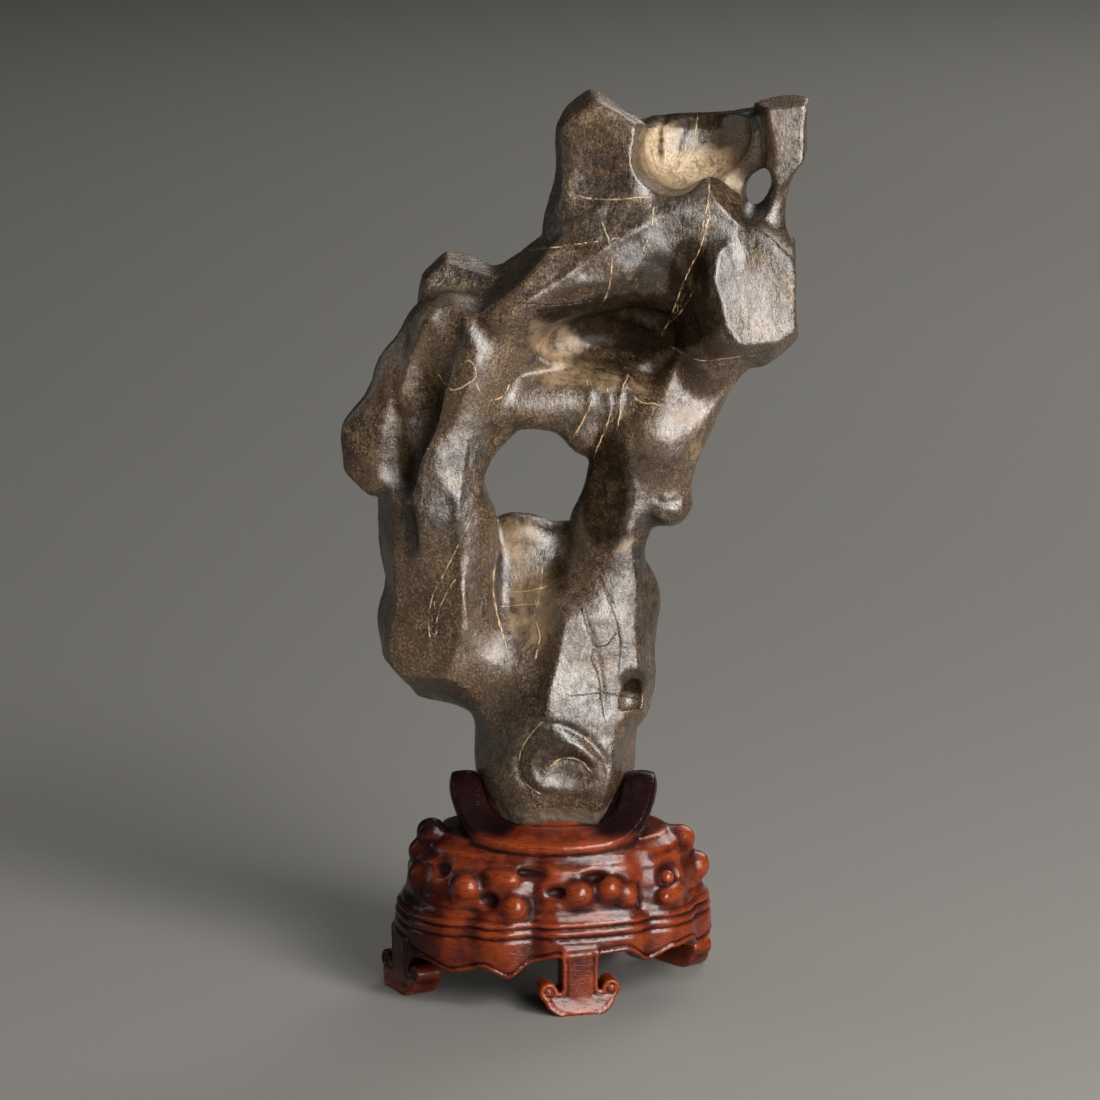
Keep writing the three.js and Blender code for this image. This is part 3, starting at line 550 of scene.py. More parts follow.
def standField(points):
    x, y, z = points.T.astype(np.float64)
    dx, dy = x - stand["centre"][0], y - stand["centre"][1]
    radius = np.hypot(dx, dy)
    compass = np.degrees(np.arctan2(dy, dx))
    place = wrapDegrees(compass - stand["turn"])
    slope = stand["sideSlope"]
    tuck = stand["apronTuck"] * np.clip((stand["apronTuckTop"] - z) / stand["apronTuckReach"], 0, 1) ** 2
    side = (radius - sideRadius(compass, z)) * slope + tuck
    for groove in stand["beadGrooves"]:
        side = side + carvedLine(z, (groove, stand["beadWidth"], stand["beadDepth"]))
    overEdge = z - eased(apronEdge, place)
    side = side + carvedLine(overEdge, stand["rimLine"]) - carvedLine(overEdge, stand["rimBead"])
    distance = softMax(side, z - stand["bodyTop"], 3)
    distance = softMax(distance, -overEdge, 1.5)
    for pit in burlHollows:
        distance = softMax(distance, -burlDistance(dx, dy, z, pit), stand["pitBlend"])
    for burl in burls:
        distance = softMin(distance, burlDistance(dx, dy, z, burl), stand["burlBlend"])
    distance = softMin(distance, burlDistance(dx, dy, z, burlInHollow), stand["nestedBurlBlend"])
    distance = softMin(distance, collarDistance(radius, compass, z), stand["collarBlend"])
    hollow = softMax((radius - baseRadius(place) + stand["apronWall"]) * slope, z - stand["hollowTop"], 3)
    distance = softMax(distance, -hollow, 1)
    for foot in feet:
        distance = softMin(distance, footDistance(dx, dy, z, foot), 1.5)
    near = z > stand["socketFloor"]
    distance[near] = softMax(distance[near], stand["socketGap"] - stoneField(points[near]), 0.2)
    return distance


# From a field to a skin of triangles.

def gradientOf(field, p, step=0.25):
    corners = np.array([[1, 1, 1], [1, -1, -1], [-1, 1, -1], [-1, -1, 1]], np.float32)
    return sum(corner * field(p + step * corner)[:, None] for corner in corners) / (4 * step)


def settle(field, points, reach, rounds=3):
    # draws the points onto the surface, each within its own reach
    p = points.copy()
    for _ in range(rounds):
        value = field(p)
        slope = gradientOf(field, p)
        steep = np.maximum(0.25, (slope ** 2).sum(1))
        p = points + np.clip(p - (value / steep)[:, None] * slope - points, -reach, reach)
    return p.astype(np.float32)


def fillGrid(field, low, high, cell):
    # values on a coarse grid first, then on a fine one only where the surface may pass
    stride = 4
    caution = 1.3  # nearer than this many coarse cells, the surface may pass
    batch = 200000
    low = np.array(low, float)
    coarseCount = np.ceil((np.array(high) - low) / (cell * stride)).astype(int) + 1
    count = (coarseCount - 1) * stride + 1

    def axes(number, size):
        return [low[i] + size * np.arange(number[i]) for i in range(3)]

    grid = np.stack(np.meshgrid(*axes(coarseCount, cell * stride), indexing="ij"), -1)
    coarse = field(grid.reshape(-1, 3).astype(np.float32)).reshape(coarseCount)
    nearest = np.full(coarseCount - 1, np.inf)
    for a in (0, 1):
        for b in (0, 1):
            for c in (0, 1):
                part = coarse[a:coarseCount[0] - 1 + a, b:coarseCount[1] - 1 + b, c:coarseCount[2] - 1 + c]
                nearest = np.minimum(nearest, np.abs(part))
    wanted = np.zeros(count, bool)
    spread = nearest < cell * stride * caution
    for axis in range(3):
        spread = np.repeat(spread, stride, axis)
    for a in (0, 1):
        for b in (0, 1):
            for c in (0, 1):
                wanted[a:a + spread.shape[0], b:b + spread.shape[1], c:c + spread.shape[2]] |= spread
    values = coarse
    for axis in range(3):
        values = np.repeat(values, stride, axis)
    values = values[:count[0], :count[1], :count[2]].astype(np.float32)
    at = np.argwhere(wanted)
    points = (low + at * cell).astype(np.float32)
    for start in range(0, len(points), batch):
        part = at[start:start + batch]
        values[part[:, 0], part[:, 1], part[:, 2]] = field(points[start:start + batch])
    return values, low


def partDoubtful(values, cell, rounds=6):
    # fills a corner wherever two skins would touch along an edge
    for _ in range(rounds):
        changed = 0
        for axis in range(3):
            v = np.moveaxis(values, axis, 0)
            a, b, c, d = v[:, :-1, :-1], v[:, 1:, :-1], v[:, 1:, 1:], v[:, :-1, 1:]
            crossed = ((a < 0) == (c < 0)) & ((b < 0) == (d < 0)) & ((a < 0) != (b < 0))
            for i, j, k in np.argwhere(crossed):
                ring = [(i, j, k), (i, j + 1, k), (i, j + 1, k + 1), (i, j, k + 1)]
                outside = [place for place in ring if v[place] >= 0]
                if len(outside) == 2:
                    v[min(outside, key=lambda place: v[place])] = -0.02 * cell
                    changed += 1
        if not changed:
            return


def skinOf(field, low, high, cell):
    # one point in every cell that the surface crosses, two triangles for every grid edge that it crosses
    values, low = fillGrid(field, low, high, cell)
    partDoubtful(values, cell)
    inside = values < 0
    count = np.array(values.shape)
    cells = count - 1
    total = np.zeros(cells, np.int8)
    offsets = [(a, b, c) for a in (0, 1) for b in (0, 1) for c in (0, 1)]
    for a, b, c in offsets:
        total += inside[a:a + cells[0], b:b + cells[1], c:c + cells[2]]
    active = np.argwhere((total > 0) & (total < 8))
    number = np.full(cells, -1, np.int32)
    number[tuple(active.T)] = np.arange(len(active))
    corner = {o: values[active[:, 0] + o[0], active[:, 1] + o[1], active[:, 2] + o[2]] for o in offsets}
    sums = np.zeros((len(active), 3))
    hits = np.zeros(len(active))
    for o in offsets:
        for axis in range(3):
            if o[axis]:
                continue
            other = tuple(1 if i == axis else o[i] for i in range(3))
            first, last = corner[o], corner[other]
            crossing = (first < 0) != (last < 0)
            t = np.where(crossing, first / np.where(crossing, first - last, 1), 0)
            place = np.array(o, float) + t[:, None] * np.eye(3)[axis]
            sums += place * crossing[:, None]
            hits += crossing
    points = (low + (active + sums / hits[:, None]) * cell).astype(np.float32)
    points = settle(field, points, cell * 0.6)
    triangles = []
    for axis in range(3):
        u, v = np.eye(3, dtype=int)[(axis + 1) % 3], np.eye(3, dtype=int)[(axis + 2) % 3]
        first = np.moveaxis(inside, axis, 0)
        crossing = np.argwhere(np.moveaxis(first[:-1] != first[1:], 0, axis))
        crossing = crossing[(crossing @ u > 0) & (crossing @ v > 0)]
        solid = inside[tuple(crossing.T)]
        ring = [number[tuple((crossing - a * u - b * v).T)] for a, b in ((0, 0), (1, 0), (1, 1), (0, 1))]
        ring = np.stack(ring, 1)
        ring[~solid] = ring[~solid][:, ::-1]
        short = (np.linalg.norm(points[ring[:, 0]] - points[ring[:, 2]], axis=1)
                 < np.linalg.norm(points[ring[:, 1]] - points[ring[:, 3]], axis=1))
        a, b, c, d = ring.T
        triangles.append(np.where(short[:, None], np.stack([a, b, c], 1), np.stack([a, b, d], 1)))
        triangles.append(np.where(short[:, None], np.stack([a, c, d], 1), np.stack([b, c, d], 1)))
    return points, np.concatenate(triangles)


def normalsOf(points, triangles):
    a, b, c = points[triangles[:, 0]], points[triangles[:, 1]], points[triangles[:, 2]]
    across = np.cross(b - a, c - a)
    normals = np.zeros((len(points), 3))
    for i in range(3):
        for axis in range(3):
            normals[:, axis] += np.bincount(triangles[:, i], across[:, axis], len(points))
    return normals / (np.linalg.norm(normals, axis=1)[:, None] + 1e-9)


def edgesOf(triangles):
    pairs = np.sort(np.concatenate([triangles[:, :2], triangles[:, 1:], triangles[:, ::2]]), 1)
    return np.unique(pairs, axis=0)


def spreadOut(values, edges, rounds):
    # evens a value out over the skin
    number = len(values)
    first, second = edges.T
    valence = np.bincount(edges.ravel(), minlength=number)
    flat = values.reshape(number, -1).astype(float)
    for _ in range(rounds):
        mixed = np.empty_like(flat)
        for column in range(flat.shape[1]):
            v = flat[:, column]
            around = np.bincount(first, v[second], number) + np.bincount(second, v[first], number)
            mixed[:, column] = around / np.maximum(valence, 1)
        flat = 0.5 * flat + 0.5 * mixed
    return flat.reshape(values.shape)


def hollowness(points, normals, edges, rounds):
    # how far the skin lies below its own evened-out shape, in millimetres: positive in hollows
    return ((spreadOut(points, edges, rounds) - points) * normals).sum(1)


def noiseAt(points, size, octaves, seed):
    # smooth noise whose largest lumps are about this size; each seed gives its own pattern
    scaled = points / size + seed
    return np.array([noise.fractal(Vector(p), 0.9, 2.0, octaves) for p in scaled.tolist()])


def frontView(points):
    # where a point is seen from the front, measured on the upright plane through the stand's middle
    share = -eyePoint[1] / (points[:, 1] - eyePoint[1])
    u = eyePoint[0] + (points[:, 0] - eyePoint[0]) * share
    v = eyePoint[2] + (points[:, 2] - eyePoint[2]) * share
    return np.stack([u, v], 1)


def facingFront(points, normals):
    toEye = eyePoint - points
    toEye /= np.linalg.norm(toEye, axis=1)[:, None]
    return (normals * toEye).sum(1)


def strokeDistance(flat, line):
    # signed distance to a line drawn through given points, and how far along it
    knots = np.array(line, float)
    best = np.full(len(flat), 1e9)
    signed = np.full(len(flat), 1e9)
    share = np.zeros(len(flat))
    lengths = np.linalg.norm(np.diff(knots, axis=0), axis=1)
    run = np.concatenate([[0], np.cumsum(lengths)])
    for i, length in enumerate(lengths):
        along = (knots[i + 1] - knots[i]) / length
        offset = flat - knots[i]
        t = np.clip(offset @ along, 0, length)
        gap = np.linalg.norm(offset - t[:, None] * along, axis=1)
        side = np.sign(offset[:, 0] * along[1] - offset[:, 1] * along[0])
        closer = gap < best
        best = np.where(closer, gap, best)
        signed = np.where(closer, gap * side, signed)
        share = np.where(closer, (run[i] + t) / run[-1], share)
    return signed, share


def smoothLine(points, step=1.5):
    # a curve through the points, cut into short steps
    p = np.array(points, float)
    if len(p) < 3:
        return p
    ends = np.vstack([2 * p[0] - p[1], p, 2 * p[-1] - p[-2]])
    out = []
    for i in range(len(p) - 1):
        a, b, c, d = ends[i:i + 4]
        count = max(2, int(np.linalg.norm(c - b) / step))
        for t in np.arange(count) / count:
            out.append(0.5 * (2 * b + (c - a) * t + (2 * a - 5 * b + 4 * c - d) * t ** 2
                              + (3 * b - a - 3 * c + d) * t ** 3))
    out.append(p[-1])
    return np.array(out)


def makeMesh(name, points, triangles, attributes, material):
    mesh = bpy.data.meshes.new(name)
    place = (points + wholeShift) * mm
    mesh.vertices.add(len(place))
    mesh.vertices.foreach_set("co", place.astype(np.float32).ravel())
    mesh.loops.add(triangles.size)
    mesh.loops.foreach_set("vertex_index", triangles.astype(np.int32).ravel())
    mesh.polygons.add(len(triangles))
    mesh.polygons.foreach_set("loop_start", np.arange(0, triangles.size, 3, dtype=np.int32))
    mesh.polygons.foreach_set("use_smooth", np.ones(len(triangles), bool))
    for title, values in attributes.items():
        layer = mesh.attributes.new(title, "FLOAT", "POINT")
        layer.data.foreach_set("value", np.asarray(values, np.float32))
    mesh.materials.append(material)
    mesh.update()
    mesh.validate()
    piece = bpy.data.objects.new(name, mesh)
    bpy.context.scene.collection.objects.link(piece)
    return piece


# The stone's small forms and colours, placed as they are seen from the front.

shellEdge = ((-5, 107), (-11, 100), (-14, 91), (-12, 83), (-5, 78))
shellRib = ((0, 90), (5, 92.5), (11, 91.5), (15, 88))

strokes = [  # line, half width, height (negative cuts in)
    (((-5, 107), (4, 106.5), (13, 102), (20, 95), (23, 88), (22, 84)), 1.5, -1.3),
    (shellRib, 1.4, -1.1),
    (shellEdge, 1.4, -1.2),
    (((-4, 98), (-8, 91), (-6, 83), (0, 80)), 1.6, 1.2),
    (((4, 101), (12, 97), (18, 90)), 1.6, 1.1),
    (((44, 357), (44, 345), (45.5, 330)), 1.2, -1.0),
    (((56, 352), (52, 341), (50, 330)), 1.6, 0.7),
    (((14, 247), (15, 238), (8, 224)), 1.2, 0.6),
    (((22, 244), (23, 235), (17, 218)), 1.2, 0.6),
    (((30, 250), (27, 240), (26, 228)), 1.2, 0.6),
    (((31, 243), (36, 238), (42, 238)), 1.1, 0.5),
    (((60, 254), (70, 256), (80, 257)), 1.4, -0.8),
    (((-33, 232), (-36, 210), (-38, 190), (-36, 165), (-34, 140)), 1.5, 0.7),
    (((12, 155), (17, 140), (20, 125), (21, 110)), 0.9, -0.6),
    (((20, 165), (24, 155), (27, 140), (27, 130)), 0.9, -0.5),
    (((40, 201), (45, 198), (52, 199)), 1.3, -0.8),
    (((38, 196), (44, 192), (50, 190)), 1.3, 0.7),
    (((-16, 277), (-8, 281), (2, 287), (12, 294), (22, 301), (32, 307), (42, 313)), 1.6, 0.9),
]

veinLines = [  # pale hairlines
    ((62, 313), (58, 300), (52, 287), (48, 276), (44, 267)),
    ((55, 282), (50, 274), (45, 270)),
    ((20, 310), (23, 301), (23.5, 291), (22, 283), (20, 279)),
    ((-33, 190), (-38, 180), (-43, 170), (-48, 160), (-49.5, 150), (-49, 140)),
    ((-38, 168), (-43, 160), (-46, 152), (-46.5, 145)),
    ((-22, 178), (-23.5, 165), (-22, 153), (-18, 138)),
    ((-18, 162), (-11, 162), (-3, 164)),
    ((-20, 156), (-12, 156.5), (-5, 157)),
    ((-4, 172), (-5, 160), (-7, 152), (-5, 143), (-7, 133)),
    ((14, 247), (15.5, 241), (14.5, 236), (8, 224)),
    ((22, 244), (23.5, 238), (22, 230), (17, 218)),
    ((30, 250), (27.5, 242), (27, 234), (26, 228)),
    ((31, 243), (35, 239), (42, 238)),
    shellEdge,
    shellRib,
    ((6, 322), (20, 320), (38, 321)),
    ((-8, 300), (8, 302), (28, 305)),
    ((48, 261), (58, 256), (70, 256), (80, 258)),
    ((40, 318), (39, 308), (36, 300)),
    ((62, 326), (61, 317), (59, 308)),
    ((53, 345), (49, 330)),
    ((57, 352), (55, 340), (50, 331)),
    ((-45, 250), (-40, 244), (-34, 246), (-30, 250), (-33, 256), (-39, 252)),
    ((-30, 246), (-26, 240), (-20, 241), (-17, 246)),
]

crackLines = [
    ((12, 155), (14, 147), (17, 140), (16, 134), (19, 126), (21, 110)),
    ((20, 167), (22, 160), (26, 150), (27.5, 140), (27, 130)),
    ((17, 139), (22, 140), (25, 144)),
    ((-12, 279), (2, 278), (16, 280)),
    ((52, 290), (55, 270)),
    ((8, 119), (20, 120), (33, 118)),
]

palePatches = [  # place on the front view, half sizes, nearest and farthest depth, strength
    ((43, 340), (9, 14), (-6, 60), 1.0),
    ((58, 331), (19, 12), (0, 60), 0.85),
    ((70, 322), (9, 14), (0, 60), 0.7),
    ((2, 264), (13, 11), (-20, 60), 0.50),
    ((5, 253), (14, 9), (-20, 60), 0.60),
    ((24, 247), (16, 6), (-20, 60), 0.35),
    ((-12, 182), (9, 11), (-20, 60), 0.65),
    ((-8, 158), (12, 22), (-22, 60), 0.55),
    ((-60, 205), (10, 8), (-30, 60), 0.15),
    ((57, 232), (5, 16), (-30, 60), 0.35),
    ((28, 178), (5, 6), (-30, 60), 0.4),
]

# painted shade, in the same columns: the cave's depths, the faces turned from the light, the valleys, under
# the top wall's rim, the fold in the bowl and the pocket
paintedShadePatches = [
    ((36, 271), (30, 12), (-30, 60), 1.0),
    ((22, 203), (11, 24), (-30, 60), 0.9),
    ((54, 286), (8, 20), (-30, 60), 0.9),
    ((-48, 250), (7, 30), (-30, 60), 0.4),
    ((60, 354), (24, 6), (-10, 60), 1.0),
    ((43, 341), (1.2, 13), (-6, 60), 0.9),
    ((8, 274), (16, 5), (-30, 60), 0.7),
    ((2, 168), (6, 12), (-30, 60), 0.5),
    ((33, 125), (6, 5), (-30, 60), 1.0),
    ((-58, 222), (4, 24), (-30, 60), 0.5),
]
glassPatch = ((75, 350), (9, 4.5), (-10, 60), 1.3)  # a black glassy chip in the rim


def lineAttributes(flat, front, lines):
    # signed distance to the nearest line, and a weight that fades away from it and round the sides
    farthest = 4.0
    side = np.full(len(flat), farthest)
    for line in lines:
        signed, _ = strokeDistance(flat, smoothLine(line))
        closer = np.abs(signed) < np.abs(side)
        side = np.where(closer, signed, side)
    near = np.clip(1.6 - np.abs(side) / 1.6, 0, 1) * np.clip((front - 0.1) / 0.15, 0, 1)
    return np.clip(side, -farthest, farthest), near


def patchWeight(flat, points, patches):
    weight = np.zeros(len(flat))
    for (u, v), (halfU, halfV), (nearest, farthest), strength in patches:
        reach = ((flat[:, 0] - u) / halfU) ** 2 + ((flat[:, 1] - v) / halfV) ** 2
        depth = (points[:, 1] > nearest) & (points[:, 1] < farthest)
        weight = np.maximum(weight, strength * np.clip(1.35 - reach, 0, 1) * depth)
    return weight


def makeStone(material):
    points, triangles = skinOf(stoneField, stone["low"], stone["high"], stone["cell"] * coarser)
    report(f"stone skin: {len(triangles)} triangles")
    normals = normalsOf(points, triangles)
    edges = edgesOf(triangles)
    flat = frontView(points)
    front = facingFront(points, normals)
    facing = np.clip((front - 0.05) / 0.3, 0, 1)
    height = np.zeros(len(points))
    for line, halfWidth, rise in strokes:  # each fades out at its ends
        signed, share = strokeDistance(flat, smoothLine(line))
        taper = np.clip(np.minimum(share, 1 - share) * 6, 0.15, 1)
        height += rise * taper * np.exp(-(signed / halfWidth) ** 2) * facing
    height += stone["ripple"] * noiseAt(points, stone["rippleSize"], 3, 3.1)
    height += stone["grainRelief"] * noiseAt(points, stone["grainSize"], 2, 9.7)
    roughTop = stone["roughFootTop"] + stone["roughFootWave"] * noiseAt(points, 9.0, 2, 5.0)
    rough = np.clip((roughTop - points[:, 2]) / stone["roughFootFade"], 0, 1)
    height += rough * stone["roughFootRelief"] * noiseAt(points, stone["roughFootGrain"], 3, 1.3)
    inSocket = np.clip((stone["socketTop"] - points[:, 2]) / stone["socketFade"], 0, 1)
    height *= 1 - inSocket * 0.9
    points = points + normals * height[:, None]
    veinSide, veinNear = lineAttributes(flat, front, veinLines)
    crackSide, crackNear = lineAttributes(flat, front, crackLines)
    towardsFront = np.clip(front * 2 + 0.4, 0, 1)
    pale = spreadOut(patchWeight(flat, points, palePatches) * towardsFront, edges, 10)
    # painted shade, spread a little over the skin
    paintedShade = spreadOut(patchWeight(flat, points, paintedShadePatches) * towardsFront, edges, 12)
    piece = makeMesh("rock_skin", points, triangles, dict(
        rough=rough, pale=pale, paintedShade=paintedShade, glass=patchWeight(flat, points, [glassPatch]),
        veinSide=veinSide, veinNear=veinNear, crackSide=crackSide, crackNear=crackNear,
    ), material)
    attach(piece, "root")
    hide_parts("rock")


def makeStand(material):
    points, triangles = skinOf(standField, stand["low"], stand["high"], stand["cell"] * coarser)
    report(f"stand skin: {len(triangles)} triangles")
    points[:, 2] = np.maximum(points[:, 2], 0)
    normals = normalsOf(points, triangles)
    edges = edgesOf(triangles)
    hollowBroad = hollowness(points, normals, edges, 60)
    hollowFine = hollowness(points, normals, edges, 8)
    grain = noiseAt(points * np.array([0.25, 1, 1]), 2.4, 2, 4.4)
    lift = stand["grainRelief"] * grain + stand["toolRelief"] * noiseAt(points, 6.0, 2, 8.1)
    lift[points[:, 2] < 1] = 0  # the soles stay flat
    points = points + normals * lift[:, None]
    x, y, z = points.T
    dx, dy = x - stand["centre"][0], y - stand["centre"][1]
    ends = np.abs(dx) / np.hypot(dx, dy)
    collarDark = np.clip((z - stand["darkCollarFrom"]) / 6, 0, 1)
    collarDark *= np.clip((ends - stand["darkArmFrom"]) / 0.25, 0, 1)
    # painted shade: the left end, turned from the light, and the low undersides
    leftShade = np.clip((-x - stand["darkLeftFrom"]) / 26, 0, 1) * np.clip((z - 2) / 10, 0, 1)
    undersideShade = np.clip(-normals[:, 2], 0, 1) * (z < stand["darkUnderTo"]) * (z > 1)
    # painted shade along a groove above each burl and hollow, where no groove is cut
    grooveShade = np.zeros(len(points))
    for burl in burls + burlHollows:  # a dark line above each
        away = burlDistance(dx, dy, z, burl)
        above = np.clip((z - burl[1] + 1.5) / 3, 0, 1)
        grooveShade = np.maximum(grooveShade, above * np.exp(-((away - 1.1) / 0.7) ** 2))
    dark = np.clip(collarDark + 0.65 * leftShade + 0.8 * undersideShade, 0, 1)
    # the carvedLine attribute holds this painted groove shade
    piece = makeMesh("stand_carving", points, triangles, dict(
        hollow=hollowBroad, fineHollow=hollowFine, dark=spreadOut(dark, edges, 12), carvedLine=grooveShade,
    ), material)
    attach(piece, "root")
    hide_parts("stand")


# Finishes.

class Shader:
    # a short way to add and join nodes
    def __init__(self, name):
        self.material = bpy.data.materials.new(name)
        self.material.use_nodes = True
        self.tree = self.material.node_tree
        self.tree.nodes.clear()
        self.coords = self.node("ShaderNodeTexCoord").outputs["Object"]

    def put(self, socket, value):
        if isinstance(value, bpy.types.NodeSocket):
            self.tree.links.new(value, socket)
        else:
            socket.default_value = value

    def node(self, kind, inputs=None, **settings):
        made = self.tree.nodes.new(kind)
        for key, value in settings.items():
            setattr(made, key, value)
        for key, value in (inputs or {}).items():
            self.put(made.inputs[key], value)
        return made

    def math(self, operation, a, b=0.0, c=0.0, clamp=False):
        made = self.node("ShaderNodeMath", {0: a, 1: b, 2: c}, operation=operation)
        made.use_clamp = clamp
        return made.outputs[0]

    def attribute(self, name):
        return self.node("ShaderNodeAttribute", attribute_name=name).outputs["Fac"]

    def noise(self, scale, detail=2.0, rough=0.5, stretch=None, distort=0.0):
        where = self.coords
        if stretch:
            where = self.node("ShaderNodeMapping", {"Vector": where, "Scale": stretch}).outputs[0]
        return self.node("ShaderNodeTexNoise", {
            "Vector": where, "Scale": scale, "Detail": detail, "Roughness": rough, "Distortion": distort,
        }).outputs["Fac"]

    def ramp(self, value, low, high, fromValue=0.0, toValue=1.0):
        made = self.node("ShaderNodeMapRange", {
            "Value": value, "From Min": low, "From Max": high, "To Min": fromValue, "To Max": toValue,
        })
        made.interpolation_type = "SMOOTHSTEP"
        return made.outputs[0]

    def mix(self, share, a, b):
        made = self.node("ShaderNodeMix", data_type="RGBA")
        for socket, value in zip([made.inputs[0], made.inputs[6], made.inputs[7]], [share, a, b]):
            self.put(socket, value)
        return made.outputs[2]

    def bump(self, height, strength, distance, normal=None):
        inputs = {"Height": height, "Strength": strength, "Distance": distance}
        if normal:
            inputs["Normal"] = normal
        return self.node("ShaderNodeBump", inputs).outputs[0]

    def finish(self, inputs):
        principled = self.node("ShaderNodeBsdfPrincipled", inputs)
        self.node("ShaderNodeOutputMaterial", {"Surface": principled.outputs[0]})
        return self.material


stoneLook = dict(
    umber=(0.012, 0.0070, 0.0036, 1),
    brown=(0.066, 0.040, 0.021, 1),
    tan=(0.27, 0.180, 0.095, 1),
    cream=(0.60, 0.46, 0.29, 1),
    vein=(0.58, 0.42, 0.22, 1),
    crack=(0.006, 0.004, 0.003, 1),
    glass=(0.010, 0.010, 0.016, 1),
    footGrey=(0.11, 0.080, 0.050, 1),
    driftScale=24,  # how closely the colour's drifts, patches, clumps and specks are set
    patchScale=90,
    clumpScale=300,
    speckScale=980,
    streakScale=520,
    wrinkleScale=430,
    wrinkleDepth=0.00032,
    lineDepth=0.0006,
    veinHalfWidth=0.42,
    crackHalfWidth=0.36,
    gloss=0.20,  # roughness where the stone is best polished
    reflection=0.85,
)


def stoneMaterial():
    s = Shader("dark umber stone")
    look = stoneLook
    broad = s.noise(look["driftScale"], 3, 0.55)
    middle = s.noise(look["patchScale"], 4, 0.6, distort=0.6)
    clumps = s.noise(look["clumpScale"], 4, 0.7, distort=0.3)
    streaks = s.noise(look["streakScale"], 4, 0.7, stretch=(1, 1, 0.16))
    speck = s.noise(look["speckScale"], 5, 0.85, distort=0.5)
    wrinkles = s.noise(look["wrinkleScale"], 4, 0.65, stretch=(1.2, 1.2, 0.8), distort=1.6)
    pale = s.attribute("pale")
    rough = s.attribute("rough")

    ground = s.math("ADD", s.math("MULTIPLY", broad, 0.5), s.math("MULTIPLY", clumps, 0.5))
    colour = s.mix(s.ramp(ground, 0.40, 0.58), look["umber"], look["brown"])
    streakShare = s.math("MULTIPLY", s.ramp(streaks, 0.54, 0.66), s.ramp(middle, 0.40, 0.62, 0.05, 0.45))
    colour = s.mix(streakShare, colour, look["tan"])
    crowd = s.math("ADD", s.math("MULTIPLY", middle, 0.6), s.math("MULTIPLY", broad, 0.4))
    crowd = s.math("MULTIPLY_ADD", s.ramp(crowd, 0.40, 0.60), 0.80, 0.08)
    speckShare = s.math("MULTIPLY", s.ramp(speck, 0.52, 0.62), crowd)
    colour = s.mix(speckShare, colour, look["tan"])
    colour = s.mix(s.math("MULTIPLY", s.ramp(speck, 0.46, 0.36), 0.75), colour, look["umber"])

    # pale skin in the hollows, broken up by specks, clumps and folds
    folds = s.noise(330, 3, 0.6, stretch=(1, 1, 0.12), distort=0.4)
    paleEdge = s.math("MULTIPLY_ADD", s.math("SUBTRACT", middle, 0.5), 1.6, pale)
    paleShare = s.math("MULTIPLY", s.ramp(paleEdge, 0.12, 0.75), s.ramp(speck, 0.34, 0.52, 0.60, 1.0))
    paleShare = s.math("MULTIPLY", paleShare, s.ramp(clumps, 0.30, 0.52, 0.55, 1.0))
    paleShare = s.math("MULTIPLY", paleShare, s.ramp(folds, 0.34, 0.50, 0.45, 1.0), clamp=True)
    creamShare = s.math("MULTIPLY", s.ramp(pale, 0.5, 1.0), s.ramp(speck, 0.38, 0.62))
    colour = s.mix(paleShare, colour, s.mix(creamShare, look["tan"], look["cream"]))

    # painted shade in the cave, under the overhangs and on faces turned from the light, the glassy chip and
    # the rough grey foot
    paintedShade = s.math("MULTIPLY_ADD", s.math("SUBTRACT", middle, 0.5), 0.8, s.attribute("paintedShade"))
    paintedShade = s.ramp(paintedShade, 0.10, 0.60)
    paintedShadeShare = s.math("MULTIPLY", paintedShade, s.ramp(clumps, 0.30, 0.60, 1.0, 0.7), clamp=True)
    colour = s.mix(paintedShadeShare, colour, look["umber"])
    glassShare = s.ramp(s.math("MULTIPLY_ADD", clumps, 0.8, s.attribute("glass")), 0.95, 1.10)
    colour = s.mix(glassShare, colour, look["glass"])
    footShare = s.math("MULTIPLY", rough, s.ramp(speck, 0.38, 0.62, 0.35, 0.95))
    colour = s.mix(footShare, colour, look["footGrey"])

    # pale hairlines and dark cracks, which wander a little off their drawn lines
    wander = s.math("SUBTRACT", s.noise(420, 2, 0.5), 0.5)
    veinAway = s.math("ABSOLUTE", s.math("ADD", s.attribute("veinSide"), wander))
    veinLine = s.math("MULTIPLY", s.ramp(veinAway, look["veinHalfWidth"], 0.12), s.attribute("veinNear"))
    veinLine = s.math("MULTIPLY", veinLine, s.ramp(s.noise(240, 2, 0.6), 0.40, 0.60, 0.05, 0.9), clamp=True)
    colour = s.mix(veinLine, colour, look["vein"])
    crackAway = s.math("ABSOLUTE", s.math("ADD", s.attribute("crackSide"), s.math("MULTIPLY", wander, 1.4)))
    crackLine = s.ramp(crackAway, look["crackHalfWidth"], 0.10)
    crackLine = s.math("MULTIPLY", crackLine, s.attribute("crackNear"), clamp=True)
    colour = s.mix(crackLine, colour, look["crack"])

    roughness = s.ramp(speck, 0.38, 0.66, look["gloss"], look["gloss"] + 0.12)
    roughness = s.math("ADD", roughness, s.math("MULTIPLY", paleShare, 0.30))
    # the painted shade also takes most of the reflection away, so no highlight shows there
    reflection = s.math("MULTIPLY", s.ramp(paintedShade, 0.0, 0.8, 1.0, 0.12), look["reflection"])
    reflection = s.math("MAXIMUM", reflection, glassShare)
    roughness = s.math("SUBTRACT", roughness, s.math("MULTIPLY", glassShare, 0.12), clamp=True)
    roughness = s.math("ADD", roughness, s.math("MULTIPLY", rough, 0.35))

